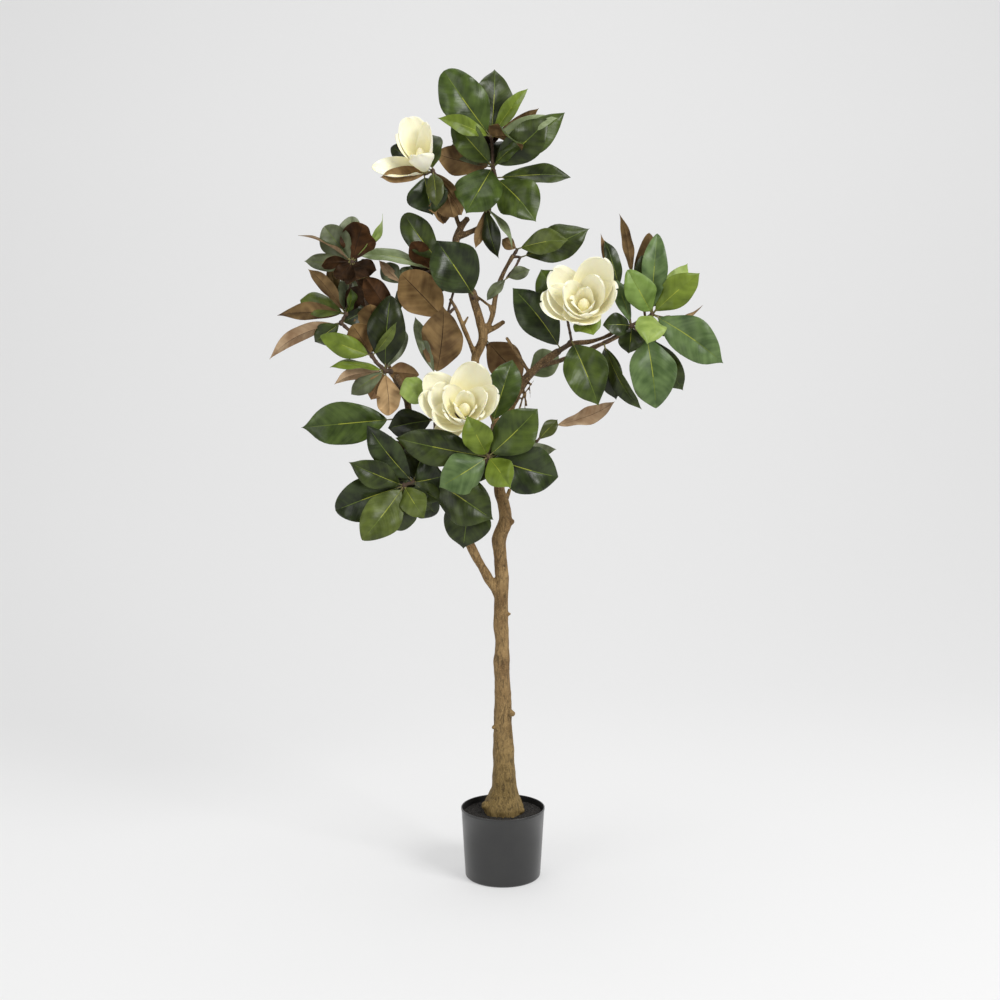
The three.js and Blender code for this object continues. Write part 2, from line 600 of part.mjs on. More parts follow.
// The place of a point in the plane of the trunk, as seen from the front.
function seen(point) {
  const scale = FRONT_EYE.distance / (FRONT_EYE.distance + point.y);
  return [point.x * scale, FRONT_EYE.height + (point.z - FRONT_EYE.height) * scale];
}

// Points round a leaf's outline; share 1 is the outline itself.
function outlinePoints({ fork, axis, normal, length, width }, share = 1) {
  const side = new THREE.Vector3().crossVectors(axis, normal);
  const mirrored = LEAF.outline.map(([q, w]) => [q, -w]).reverse();
  const shape = [[LEAF.stalk, 0], ...LEAF.outline, [1, 0], ...mirrored];
  return shape.map(([q, w]) => fork.clone()
    .addScaledVector(axis, length * q)
    .addScaledVector(side, (share * w * width) / 2));
}

// Whether a convex outline in the plane of the trunk holds a place there.
function holds(outline, [x, z]) {
  const turns = outline.map(([x0, z0], i) => {
    const [x1, z1] = outline[(i + 1) % outline.length];
    return Math.sign((x1 - x0) * (z - z0) - (z1 - z0) * (x - x0));
  });
  return turns.every((turn) => turn === turns[0]);
}

// The leaves round a shoot's axis.
function shootLeaves(at, [direction, seed, count]) {
  const random = randomFrom(seed * 7919);
  const shoot = vector(direction).normalize();
  const side = new THREE.Vector3().crossVectors(shoot, new THREE.Vector3(0, 0, 1)).normalize();
  const top = new THREE.Vector3().crossVectors(side, shoot);
  return Array.from({ length: count }, (_, i) => {
    const turn = THREE.MathUtils.degToRad(i * SHOOT.turn + (random() - 0.5) * SHOOT.jitter);
    const lift = THREE.MathUtils.degToRad(SHOOT.lift + random() * SHOOT.spreadLift);
    const length = SHOOT.length + random() * SHOOT.spread;
    const out = top.clone().multiplyScalar(Math.cos(turn)).addScaledVector(side, Math.sin(turn));
    const axis = out.clone().multiplyScalar(Math.cos(lift)).addScaledVector(shoot, Math.sin(lift));
    const normal = shoot.clone().addScaledVector(axis, -shoot.dot(axis)).normalize();
    const width = length * SHOOT.width;
    return { fork: vector(at), start: FORK.stalks, axis, normal, length, width };
  });
}

const frontLeaves = (forks, leaves) => Object.entries(leaves).flatMap(([key, spray]) => spray.map(
  ([right, toward, up, width, roll, bow]) => ({
    fork: vector(forks[key]),
    start: spray.length < FORK.crowd ? 0 : FORK.stalks,
    ...rolledFrame([right, toward, up], roll),
    width,
    bow,
  }),
));

const screens = Object.values(MASSES)
  .flatMap(({ forks, leaves = {} }) => frontLeaves(forks, leaves))
  .map((leaf) => outlinePoints(leaf).map(seen));

// A leaf behind shows past the leaves in front of it if more than one of its points does.
function showsInGaps(leaf) {
  const open = outlinePoints(leaf, SHOOT.inset).slice(1).filter(
    (point) => !screens.some((outline) => holds(outline, seen(point))),
  );
  return open.length > 1;
}

// Twigs, knots, leaves and blossom as one solid, clear of the limbs; a leaf of a shoot that
// would touch a limb or another mass, or fill a gap, is left out.
function massSolid({ forks, twigs, leaves = {}, shoots = {}, bloom }, limbs, others) {
  const pieces = twigs.map(([from, to, thick, thin]) => limbSolid({
    stations: [[...forks[from], thick], [...forks[to], thin]], sides: 4, steps: 1,
  }));
  const ball = (key, radius) => toSolid(new THREE.IcosahedronGeometry(radius, 0).translate(...forks[key]));
  const crowded = Object.keys(leaves).filter((key) => leaves[key].length >= FORK.crowd);
  [...crowded, ...Object.keys(shoots)].forEach((key) => pieces.push(ball(key, FORK.radius)));
  frontLeaves(forks, leaves).forEach((leaf) => pieces.push(leafSolid(leaf)));
  Object.entries(shoots).forEach(([key, shoot]) => {
    shootLeaves(forks[key], shoot).filter((leaf) => !showsInGaps(leaf)).forEach((leaf) => {
      const solid = leafSolid(leaf);
      const blade = solid.subtract(ball(key, FORK.clear));
      if (blade.intersect(limbs).isEmpty() && blade.intersect(others).isEmpty()) pieces.push(solid);
    });
  });
  if (bloom) pieces.push(...bloomSolids(bloom));
  return mainPiece(union(pieces).subtract(limbs));
}

// ---------------------------------------------------------------- pot

function potSolid() {
  const { rim, foot, height, wall, floor, corner, lip, lipHeight, sides } = POT;
  const profile = [
    [0, 0], [foot - corner, 0], [foot - corner * 0.3, corner * 0.3], [foot, corner],
    [rim - lip, height - lipHeight], [rim, height - lipHeight + lip], [rim, height - 1], [rim - 1, height],
    [rim - wall, height], [foot - wall, floor + corner], [foot - wall - corner, floor], [0, floor],
  ];
  const points = profile.map(([x, y]) => new THREE.Vector2(x, y));
  return toSolid(new THREE.LatheGeometry(points, sides).rotateX(Math.PI / 2));
}

function fillSolid() {
  const { rim, foot, height, wall, floor, corner, sides } = POT;
  const inside = (z) => THREE.MathUtils.mapLinear(z, floor + corner, height, foot - wall, rim - wall);
  const bend = floor + corner;
  const profile = [
    [0, floor + GAP], [foot - wall - corner - GAP, floor + GAP], [inside(bend) - 2 * GAP, bend + GAP],
    [inside(SOIL) - 2 * GAP, SOIL], [0, SOIL],
  ];
  const points = profile.map(([x, y]) => new THREE.Vector2(x, y));
  return toSolid(new THREE.LatheGeometry(points, sides).rotateX(Math.PI / 2));
}

// ---------------------------------------------------------------- the tree

const tree = new THREE.Group();
tree.add(toMesh('pot', potSolid(), { color: 0x41413f, roughness: 0.5, metalness: 0 }));
tree.add(toMesh('pot_fill', fillSolid(), { color: 0x1c1b19, roughness: 0.95, metalness: 0 }));

const ground = toSolid(new THREE.BoxGeometry(400, 400, SOIL).translate(0, 0, SOIL / 2 + GAP));
tree.add(toMesh('trunk', mainPiece(boughSolid('trunk', TRUNK).subtract(ground)), BARK));

// A bough is cut clear of the limbs before it, so that its foot fits the bark with a fine gap.
let limbs = boughSolid('trunk', TRUNK, GAP);
Object.entries(BOUGHS).forEach(([name, stations]) => {
  const limb = mainPiece(boughSolid(name, { stations }).subtract(limbs));
  limbs = limbs.add(boughSolid(name, { stations }, GAP));
  tree.add(toMesh(name, limb, BARK));
});

let grown = limbs;
Object.entries(MASSES).forEach(([name, mass]) => {
  const solid = massSolid(mass, limbs, grown);
  grown = grown.add(solid);
  tree.add(toMesh(name, solid, FOLIAGE));
});

export default tree;
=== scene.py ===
import math

import bpy
import numpy as np
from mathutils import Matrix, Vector, noise


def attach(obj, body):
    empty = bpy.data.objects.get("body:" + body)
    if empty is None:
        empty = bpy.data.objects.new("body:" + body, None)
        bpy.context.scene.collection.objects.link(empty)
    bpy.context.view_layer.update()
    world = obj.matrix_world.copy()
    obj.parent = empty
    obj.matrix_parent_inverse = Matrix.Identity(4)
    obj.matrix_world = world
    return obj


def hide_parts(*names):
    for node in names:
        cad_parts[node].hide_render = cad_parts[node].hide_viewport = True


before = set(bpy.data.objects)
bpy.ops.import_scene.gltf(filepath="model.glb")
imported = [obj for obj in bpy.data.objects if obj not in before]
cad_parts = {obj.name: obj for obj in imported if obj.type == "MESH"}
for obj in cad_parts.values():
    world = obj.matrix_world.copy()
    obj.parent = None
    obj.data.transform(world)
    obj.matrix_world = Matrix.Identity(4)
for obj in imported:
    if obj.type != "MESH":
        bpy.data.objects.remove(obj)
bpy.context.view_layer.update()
mm = 0.001              # the plant's sizes below are in millimetres
up = np.array([0.0, 0.0, 1.0])


# Values and links for a node's inputs: another node's output is linked, anything else is set.
def feed(tree, node, inputs):
    for name, value in inputs.items():
        if isinstance(value, bpy.types.NodeSocket):
            tree.links.new(value, node.inputs[name])
        else:
            node.inputs[name].default_value = value


# One node with its settings and its inputs.
def addNode(tree, kind, settings=None, inputs=None):
    node = tree.nodes.new(kind)
    for name, value in (settings or {}).items():
        setattr(node, name, value)
    feed(tree, node, inputs or {})
    return node


# An sRGB hex colour as the linear values that a shader takes.
def linear(hexColour):
    parts = [int(hexColour[i:i + 2], 16) / 255 for i in (1, 3, 5)]
    return [p / 12.92 if p <= 0.04045 else ((p + 0.055) / 1.055) ** 2.4 for p in parts] + [1.0]


def unit(v):
    return np.asarray(v, float) / np.linalg.norm(v)


# The same small generator as the part's source, so that shoots grow alike.
def randomFrom(seed):
    state = seed
    while True:
        state = state * 16807 % 2147483647
        yield state / 2147483647


# Small seeds give small first draws, so a few are passed over.
def shuffled(seed):
    chance = randomFrom(seed)
    for _ in range(3):
        next(chance)
    return chance


seeds = {         # where the seeds of a kind start, then the steps from group to group and piece to piece
    "twig": (1000, 50, 1), "leaf": (5000, 400, 7), "shootLeaf": (0, 100, 1), "bloom": (300, 1, 131),
}


def seedFor(kind, group, piece):
    start, groupStep, pieceStep = seeds[kind]
    return start + groupStep * group + pieceStep * piece


def newMaterial(name):
    made = bpy.data.materials.new(name)
    made.use_nodes = True
    tree = made.node_tree
    return made, tree, tree.nodes["Principled BSDF"]


# Reliefs pressed over one another: each is a height, its depth in mm and its strength.
def pressRelief(tree, shader, reliefs):
    normal = None
    for height, depth, strength in reliefs:
        bump = addNode(tree, "ShaderNodeBump", {}, {
            "Strength": strength, "Distance": depth * mm, "Height": height,
        })
        if normal:
            tree.links.new(normal, bump.inputs["Normal"])
        normal = bump.outputs["Normal"]
    tree.links.new(normal, shader.inputs["Normal"])


mapUnit = 100                   # mm, one step of a blade's map
leafFinish = {
    "shadeMottle": 34,               # mm, patches of painted light and shade
    "shadePooling": (0.48, 0.86),    # where a patch starts to turn to its painted shade, and where it has turned
    "pleatShade": 0.35,       # how much painted shade the pleats add to the patches
    "veinPitch": 8.0,           # mm between side veins along the midrib
    "veinSlant": 0.6,           # how far a side vein runs forward for each step outwards
    "veinCurve": 1.1,           # how much more it bends forward for each decimetre outwards
    "veinWidth": 1.6,           # mm
    "veinTint": 0.07,           # share of the midrib's colour sprayed along a side vein
    "pleat": 6.5,               # mm, pressed pleats that run with the side veins
    "pleatRun": 60,             # mm, their length
    "crease": 36.0,             # mm, soft buckles of the cloth
    "fibre": 1.4,               # mm, grain of the pressed cloth, coarser than real so that it shows
    "coatRoughness": 0.3,
    "shine": (0.26, 0.12),      # specular level of the coated faces and of the bare cloth
    "coatedBelow": 0.5,         # a smoother face than this is coated
    # depth in mm and strength
    "creaseRelief": (7.0, 0.8), "pleatRelief": (0.6, 0.7), "veinRelief": (0.2, 0.4),
    "fibreRelief": (0.05, 0.4),
}


# Printed polyester satin with a latex coat: soft gloss, pressed veins, painted light and shade in patches.
def leafMaterial(name, colour, shade, vein, roughness, coat):
    made, tree, shader = newMaterial(name)
    place = addNode(tree, "ShaderNodeTexCoord")
    shadePatch = addNode(tree, "ShaderNodeTexNoise", {}, {
        "Vector": place.outputs["Object"], "Scale": 1 / (leafFinish["shadeMottle"] * mm), "Detail": 2.0,
    })

    # the blade's map is in decimetres: x outwards from the midrib, y along it
    cloth = addNode(tree, "ShaderNodeUVMap", {"uv_map": "blade"})
    parts = addNode(tree, "ShaderNodeSeparateXYZ", {}, {"Vector": cloth.outputs["UV"]})
    outward = addNode(tree, "ShaderNodeMath", {"operation": "ABSOLUTE"}, {0: parts.outputs["X"]})
    bent = addNode(tree, "ShaderNodeMath", {"operation": "MULTIPLY_ADD"}, {
        0: outward.outputs["Value"], 1: leafFinish["veinCurve"], 2: leafFinish["veinSlant"],
    })
    forward = addNode(tree, "ShaderNodeMath", {"operation": "MULTIPLY"}, {
        0: outward.outputs["Value"], 1: bent.outputs["Value"],
    })
    slant = addNode(tree, "ShaderNodeMath", {"operation": "SUBTRACT"}, {
        0: parts.outputs["Y"], 1: forward.outputs["Value"],
    })
    pleatAt = addNode(tree, "ShaderNodeCombineXYZ", {}, {
        "X": slant.outputs["Value"], "Y": parts.outputs["X"],
    })
    pleatMap = addNode(tree, "ShaderNodeMapping", {}, {
        "Vector": pleatAt.outputs["Vector"],
        "Scale": (mapUnit / leafFinish["pleat"] / 2, mapUnit / leafFinish["pleatRun"], 1.0),
    })
    pleats = addNode(tree, "ShaderNodeTexNoise", {"noise_dimensions": "2D"}, {
        "Vector": pleatMap.outputs["Vector"], "Scale": 1.0, "Detail": 1.5,
    })
    wave = addNode(tree, "ShaderNodeMath", {"operation": "PINGPONG"}, {
        0: slant.outputs["Value"], 1: leafFinish["veinPitch"] / 2 / mapUnit,
    })
    ridge = addNode(tree, "ShaderNodeMapRange", {"interpolation_type": "SMOOTHSTEP"}, {
        "Value": wave.outputs["Value"], "From Min": 0.0, "From Max": leafFinish["veinWidth"] / 2 / mapUnit,
        "To Min": 1.0, "To Max": 0.0,
    })

    # painted shade: the pleats darken the colour as the patches do, so patches and pleats add up
    paintedShade = addNode(tree, "ShaderNodeMath", {"operation": "MULTIPLY_ADD"}, {
        0: pleats.outputs["Fac"], 1: leafFinish["pleatShade"], 2: shadePatch.outputs["Fac"],
    })
    spread = addNode(tree, "ShaderNodeMapRange", {}, {
        "Value": paintedShade.outputs["Value"], "From Min": leafFinish["shadePooling"][0],
        "From Max": leafFinish["shadePooling"][1],
    })
    mixed = addNode(tree, "ShaderNodeMix", {"data_type": "RGBA"}, {
        0: spread.outputs["Result"], 6: linear(colour), 7: linear(shade),
    })
    tint = addNode(tree, "ShaderNodeMath", {"operation": "MULTIPLY"}, {
        0: ridge.outputs["Result"], 1: leafFinish["veinTint"],
    })
    veined = addNode(tree, "ShaderNodeMix", {"data_type": "RGBA"}, {
        0: tint.outputs["Value"], 6: mixed.outputs[2], 7: linear(vein),
    })
    buckle = addNode(tree, "ShaderNodeTexNoise", {}, {
        "Vector": place.outputs["Object"], "Scale": 1 / (leafFinish["crease"] * mm), "Detail": 1.0,
    })
    grain = addNode(tree, "ShaderNodeTexNoise", {}, {
        "Vector": place.outputs["Object"], "Scale": 1 / (leafFinish["fibre"] * mm), "Detail": 2.0,
    })
    pressRelief(tree, shader, [(height, *leafFinish[relief]) for height, relief in (
        (buckle.outputs["Fac"], "creaseRelief"), (pleats.outputs["Fac"], "pleatRelief"),
        (ridge.outputs["Result"], "veinRelief"), (grain.outputs["Fac"], "fibreRelief"),
    )])
    coated, bare = leafFinish["shine"]
    feed(tree, shader, {
        "Base Color": veined.outputs[2], "Roughness": roughness, "Coat Weight": coat,
        "Coat Roughness": leafFinish["coatRoughness"],
        "Specular IOR Level": coated if roughness < leafFinish["coatedBelow"] else bare,
    })
    return made


# In every material here the shade is painted shade, which the patches and pleats turn the colour to.
leafColours = {       # name: colour, shade, vein, roughness, coat
    "leafGlossy": ("#4c5e26", "#2a3810", "#6d7d40", 0.34, 0.1),
    "leafDark": ("#404c1d", "#1e260b", "#58682f", 0.36, 0.08),
    "leafDarkest": ("#2c3412", "#141a06", "#3d4a22", 0.36, 0.08),
    "leafDeep": ("#38451e", "#182009", "#475a26", 0.34, 0.1),
    "leafGreen": ("#4c5c20", "#2d3a0f", "#66783a", 0.38, 0.06),
    "leafJade": ("#647a48", "#3f542a", "#7f9458", 0.42, 0.05),
    "leafFresh": ("#7a9348", "#5c742f", "#8fa65b", 0.42, 0.05),
    "leafLime": ("#98ab5a", "#768a3e", "#a7b86a", 0.44, 0.03),
    "leafMoss": ("#5e6a2b", "#3e4817", "#7c8a48", 0.4, 0.06),
    # grey-green: partly a leaf's own tone, partly a painted sheen
    "leafGrey": ("#6a7253", "#484d34", "#868b68", 0.44, 0.04),
    "leafOlive": ("#4b5220", "#353c12", "#6c7538", 0.42, 0.06),
    "leafYoung": ("#72842c", "#556519", "#8c9a44", 0.42, 0.05),
    "leafLight": ("#87936c", "#69754d", "#8f9f5c", 0.44, 0.03),
    "underBrown": ("#836a45", "#544029", "#3f2b16", 0.6, 0.0),
    "underRusset": ("#56391f", "#311f10", "#24160a", 0.6, 0.0),
    # dark underside, partly an old leaf's brown, partly painted shade for the leaves behind and dark gaps
    "underDark": ("#3f2a17", "#1f1308", "#160d05", 0.58, 0.0),
    "underTan": ("#927750", "#6a5036", "#5a4024", 0.62, 0.0),
    "underPink": ("#b39a7b", "#8b7054", "#5c4232", 0.62, 0.0),
    "underSand": ("#cdac7e", "#a3845c", "#74542f", 0.62, 0.0),
    "underOrange": ("#8b7047", "#5f482b", "#4a3010", 0.6, 0.0),
    "underGreen": ("#71803f", "#5c6c32", "#8a965c", 0.55, 0.0),
    "ribYellow": ("#a3a83c", "#8d9432", "#a3a83c", 0.46, 0.0),
    "ribDim": ("#68782e", "#596926", "#68782e", 0.44, 0.0),
    "ribBrown": ("#2e1f12", "#23180e", "#2e1f12", 0.6, 0.0),
    "rimGreen": ("#5c6d2c", "#4b5a22", "#5c6d2c", 0.5, 0.0),
    "rimPale": ("#74834a", "#63723c", "#74834a", 0.5, 0.0),
    "rimTan": ("#6b5a34", "#5c4c2a", "#6b5a34", 0.6, 0.0),
}
tones = {              # name: upper face, underside, midrib above, midrib below, rim
    "glossy": ("leafGlossy", "underBrown", "ribYellow", "ribBrown", "rimGreen"),
    "dark": ("leafDark", "underBrown", "ribYellow", "ribBrown", "rimGreen"),
    "darkest": ("leafDarkest", "underBrown", "ribDim", "ribBrown", "leafDark"),
    "deep": ("leafDeep", "underBrown", "ribYellow", "ribBrown", "rimGreen"),
    "green": ("leafGreen", "underBrown", "ribYellow", "ribBrown", "rimGreen"),
    "jade": ("leafJade", "underTan", "ribYellow", "ribBrown", "rimPale"),
    "fresh": ("leafFresh", "underTan", "ribYellow", "ribBrown", "rimPale"),
    "lime": ("leafLime", "underGreen", "leafLime", "ribYellow", "leafLime"),
    "moss": ("leafMoss", "underBrown", "ribYellow", "ribBrown", "rimPale"),
    "grey": ("leafGrey", "underGreen", "ribDim", "ribYellow", "leafGrey"),
    "olive": ("leafOlive", "underGreen", "ribYellow", "ribYellow", "rimGreen"),
    "young": ("leafYoung", "underGreen", "ribYellow", "ribYellow", "leafLight"),
    "light": ("leafLight", "underGreen", "ribYellow", "ribYellow", "leafLight"),
    "brown": ("leafDark", "underBrown", "ribYellow", "ribBrown", "rimTan"),
    "russet": ("leafDark", "underRusset", "ribDim", "ribBrown", "underBrown"),
    "umber": ("leafDarkest", "underDark", "ribDim", "ribBrown", "underBrown"),
    "tan": ("leafOlive", "underTan", "ribDim", "ribBrown", "rimTan"),
    "pink": ("leafDark", "underPink", "ribDim", "ribBrown", "rimTan"),
    "sand": ("leafOlive", "underSand", "ribDim", "ribBrown", "underTan"),
    "orange": ("leafDark", "underOrange", "ribDim", "ribBrown", "underTan"),
}
leafMaterials = {name: leafMaterial(name, *look) for name, look in leafColours.items()}


patches = {"from": 0.38, "to": 0.64, "strength": 0.6}       # how softly two colours meet, and the grain


# A plain moulded or dyed surface: two near colours in patches, and a fine grain.
def patchyMaterial(name, colour, shade, roughness, patch, grain, depth, settings=None):
    made, tree, shader = newMaterial(name)
    place = addNode(tree, "ShaderNodeTexCoord")
    cloud = addNode(tree, "ShaderNodeTexNoise", {}, {
        "Vector": place.outputs["Object"], "Scale": 1 / (patch * mm), "Detail": 4.0,
    })
    spread = addNode(tree, "ShaderNodeMapRange", {}, {
        "Value": cloud.outputs["Fac"], "From Min": patches["from"], "From Max": patches["to"],
    })
    mixed = addNode(tree, "ShaderNodeMix", {"data_type": "RGBA"}, {
        0: spread.outputs["Result"], 6: linear(colour), 7: linear(shade),
    })
    fine = addNode(tree, "ShaderNodeTexNoise", {}, {
        "Vector": place.outputs["Object"], "Scale": 1 / (grain * mm), "Detail": 3.0,
    })
    pressRelief(tree, shader, ((fine.outputs["Fac"], depth, patches["strength"]),))
    feed(tree, shader, {"Base Color": mixed.outputs[2], "Roughness": roughness, **(settings or {})})
    return made


petalFinish = {
    "cloud": 18,                 # mm, unevenness of the spray
    "drift": 0.25,               # how far the clouds shift the colours along a petal
    "pleats": (9.0, 1.2, 1.0),   # pressed pleats across and along a petal
    "relief": (1.4, 0.5),        # depth in mm and strength
    "roughness": 0.6,
    "through": 0.25,             # share of the light that spreads inside the cloth
    "throughReach": (0.012, 0.01, 0.005),
    "glow": "#f4efd2",           # painted glow: cream light that the petals give off, as if lit through the thin cloth
    "glowStrength": 0.08,
}


# Satin polyester petals, sprayed from a yellow-green heart to cream at the rim, with a faint painted glow.
def petalMaterial(name, heart, middle, rim, spray):
    made, tree, shader = newMaterial(name)
    cloth = addNode(tree, "ShaderNodeUVMap", {"uv_map": "blade"})
    place = addNode(tree, "ShaderNodeTexCoord")
    parts = addNode(tree, "ShaderNodeSeparateXYZ", {}, {"Vector": cloth.outputs["UV"]})
    cloud = addNode(tree, "ShaderNodeTexNoise", {}, {
        "Vector": place.outputs["Object"], "Scale": 1 / (petalFinish["cloud"] * mm), "Detail": 2.0,
    })
    drift = addNode(tree, "ShaderNodeMath", {"operation": "MULTIPLY_ADD"}, {
        0: cloud.outputs["Fac"], 1: petalFinish["drift"], 2: parts.outputs["Y"],
    })
    colour = linear(heart)
    for low, high, further in zip(spray, spray[1:], (middle, rim)):
        share = addNode(tree, "ShaderNodeMapRange", {"interpolation_type": "SMOOTHSTEP"}, {
            "Value": drift.outputs["Value"], "From Min": low, "From Max": high,
        })
        sprayed = addNode(tree, "ShaderNodeMix", {"data_type": "RGBA"}, {
            0: share.outputs["Result"], 6: colour, 7: linear(further),
        })
        colour = sprayed.outputs[2]
    pleat = addNode(tree, "ShaderNodeMapping", {}, {
        "Vector": cloth.outputs["UV"], "Scale": petalFinish["pleats"],
    })
    folds = addNode(tree, "ShaderNodeTexNoise", {}, {
        "Vector": pleat.outputs["Vector"], "Scale": 1.0, "Detail": 3.0,
    })
    pressRelief(tree, shader, ((folds.outputs["Fac"], *petalFinish["relief"]),))
    # the emission is a painted glow that lightens the petals' shade
    feed(tree, shader, {
        "Base Color": colour, "Roughness": petalFinish["roughness"],
        "Subsurface Weight": petalFinish["through"], "Subsurface Radius": petalFinish["throughReach"],
        "Emission Color": linear(petalFinish["glow"]), "Emission Strength": petalFinish["glowStrength"],
    })
    return made


petalInside = petalMaterial("petalInside", "#d6cb6c", "#e6dfad", "#edeacf", (0.15, 0.45, 0.9))
petalOutside = petalMaterial("petalOutside", "#dcd89c", "#e9e6c8", "#efecd9", (0.1, 0.3, 0.65))
budPetal = petalMaterial("budPetal", "#d8d07c", "#ebe3a6", "#f2eccb", (0.1, 0.4, 1.1))
# paper-wrapped wire, dull; moulded leaf stalks, a little shiny; flocked buds, dull
twigBark = patchyMaterial("twigBark", "#5a4634", "#3d2e22", 0.8, 9, 1.1, 0.35)
petiolePlastic = patchyMaterial("petiolePlastic", "#77703c", "#5e5a32", 0.55, 12, 1.0, 0.1)
budFelt = patchyMaterial("budFelt", "#8a8356", "#6d683f", 0.8, 5, 0.7, 0.2)
# moulded charcoal polypropylene, with a soft sheen; loose dark peat, dull and rough
potPlastic = patchyMaterial("potPlastic", "#292928", "#252525", 0.36, 60, 0.5, 0.02,
                            {"Coat Weight": 0.3, "Coat Roughness": 0.2})
soilPeat = patchyMaterial("soilPeat", "#2e2924", "#0a0908", 0.7, 5, 1.0, 0.5)


barkFinish = {
    "patch": 40,                      # mm, patches of lighter and darker paint
    "patches": (0.36, 0.64),
    "crack": 5.5,                     # mm, cracks that run along the limb
    "crackStretch": 0.3,
    "speck": 2.6,                     # mm, raised grain
    "light": "#9d8054", "mid": "#785c37",
    "outerLight": "#6e5639", "outer": "#4a3824",      # the same on the thin limbs
    "dark": "#34260f", "darkCracks": (0.34, 0.53), "darkShare": 0.75,
    "fleck": "#b99b69", "flecks": (0.54, 0.68), "fleckShare": 0.6,
    "moss": "#82743c", "mossHeights": (0.16, 0.48), "mossShare": 0.4,      # m
    "bole": 0.95, "crown": 1.22,      # m, heights from which the limbs aside and the top are darker
    "right": 1.6, "left": -0.4, "high": 0.85,         # how fast they darken to each side and upwards
    "outerFrom": 0.03, "outerTo": 0.08,
    "crackRelief": (3.0, 1.0), "speckRelief": (1.0, 0.7),      # depth in mm and strength
    "roughness": 0.72, "shine": 0.35,
}


# Cast polyurethane bark, painted olive-tan, dark-washed in its cracks; thin limbs far from the trunk are
# darker.
def barkMaterial():
    made, tree, shader = newMaterial("paintedBark")
    place = addNode(tree, "ShaderNodeTexCoord")
    patch = addNode(tree, "ShaderNodeTexNoise", {}, {
        "Vector": place.outputs["Object"], "Scale": 1 / (barkFinish["patch"] * mm), "Detail": 5.0,
    })
    along = addNode(tree, "ShaderNodeMapping", {}, {
        "Vector": place.outputs["Object"], "Scale": (1.0, 1.0, barkFinish["crackStretch"]),
    })
    crack = addNode(tree, "ShaderNodeTexNoise", {}, {
        "Vector": along.outputs["Vector"], "Scale": 1 / (barkFinish["crack"] * mm),
        "Detail": 6.0, "Roughness": 0.62, "Distortion": 1.1,
    })
    speck = addNode(tree, "ShaderNodeTexNoise", {}, {
        "Vector": place.outputs["Object"], "Scale": 1 / (barkFinish["speck"] * mm), "Detail": 3.0,
    })
    tone = addNode(tree, "ShaderNodeMapRange", {}, {
        "Value": patch.outputs["Fac"], "From Min": barkFinish["patches"][0],
        "From Max": barkFinish["patches"][1],
    })
    inner, outer = [addNode(tree, "ShaderNodeMix", {"data_type": "RGBA"}, {
        0: tone.outputs["Result"], 6: linear(barkFinish[first]), 7: linear(barkFinish[second]),
    }) for first, second in (("light", "mid"), ("outerLight", "outer"))]

    # beyond the bole, the limbs on the right and at the top turn darker
    parts = addNode(tree, "ShaderNodeSeparateXYZ", {}, {"Vector": place.outputs["Object"]})
    below = addNode(tree, "ShaderNodeMath", {"operation": "SUBTRACT"}, {
        0: parts.outputs["Z"], 1: barkFinish["bole"],
    })
    held = addNode(tree, "ShaderNodeMath", {"operation": "MINIMUM"}, {0: below.outputs["Value"], 1: 0.0})
    lowest = -barkFinish["high"] * barkFinish["crown"]
    right, left, high = [addNode(tree, "ShaderNodeMath", {"operation": "MULTIPLY_ADD"}, {
        0: parts.outputs[axis], 1: barkFinish[way], 2: start,
    }) for axis, way, start in (("X", "right", held.outputs["Value"]), ("X", "left", held.outputs["Value"]),
                                ("Z", "high", lowest))]
    aside = addNode(tree, "ShaderNodeMath", {"operation": "MAXIMUM"}, {
        0: right.outputs["Value"], 1: left.outputs["Value"],
    })
    far = addNode(tree, "ShaderNodeMath", {"operation": "MAXIMUM"}, {
        0: aside.outputs["Value"], 1: high.outputs["Value"],
    })
    thin = addNode(tree, "ShaderNodeMapRange", {"interpolation_type": "SMOOTHSTEP"}, {
        "Value": far.outputs["Value"], "From Min": barkFinish["outerFrom"], "From Max": barkFinish["outerTo"],
    })
    paint = addNode(tree, "ShaderNodeMix", {"data_type": "RGBA"}, {
        0: thin.outputs["Result"], 6: inner.outputs[2], 7: outer.outputs[2],
    })

    # worn flecks on the raised grain, an olive tint over the root flare, and the wash in the cracks
    grain = addNode(tree, "ShaderNodeMapRange", {}, {
        "Value": speck.outputs["Fac"], "From Min": barkFinish["flecks"][0],
        "From Max": barkFinish["flecks"][1], "To Min": 0.0, "To Max": barkFinish["fleckShare"],
    })
    foot = addNode(tree, "ShaderNodeMapRange", {"interpolation_type": "SMOOTHSTEP"}, {
        "Value": parts.outputs["Z"], "From Min": barkFinish["mossHeights"][0],
        "From Max": barkFinish["mossHeights"][1], "To Min": barkFinish["mossShare"], "To Max": 0.0,
    })
    wash = addNode(tree, "ShaderNodeMapRange", {}, {
        "Value": crack.outputs["Fac"], "From Min": barkFinish["darkCracks"][0],
        "From Max": barkFinish["darkCracks"][1], "To Min": barkFinish["darkShare"], "To Max": 0.0,
    })
    colour = paint.outputs[2]
    for share, over in ((grain, "fleck"), (foot, "moss"), (wash, "dark")):
        layer = addNode(tree, "ShaderNodeMix", {"data_type": "RGBA"}, {
            0: share.outputs["Result"], 6: colour, 7: linear(barkFinish[over]),
        })
        colour = layer.outputs[2]
    pressRelief(tree, shader, [(pattern.outputs["Fac"], *barkFinish[relief])
                               for pattern, relief in ((crack, "crackRelief"), (speck, "speckRelief"))])
    feed(tree, shader, {
        "Base Color": colour, "Roughness": barkFinish["roughness"], "Specular IOR Level": barkFinish["shine"],
    })
    return made


paintedBark = barkMaterial()
print("materials made")


# An object in the scene for a mesh, a lamp or a camera.
def addObject(name, data):
    made = bpy.data.objects.new(name, data)
    bpy.context.collection.objects.link(made)
    return made


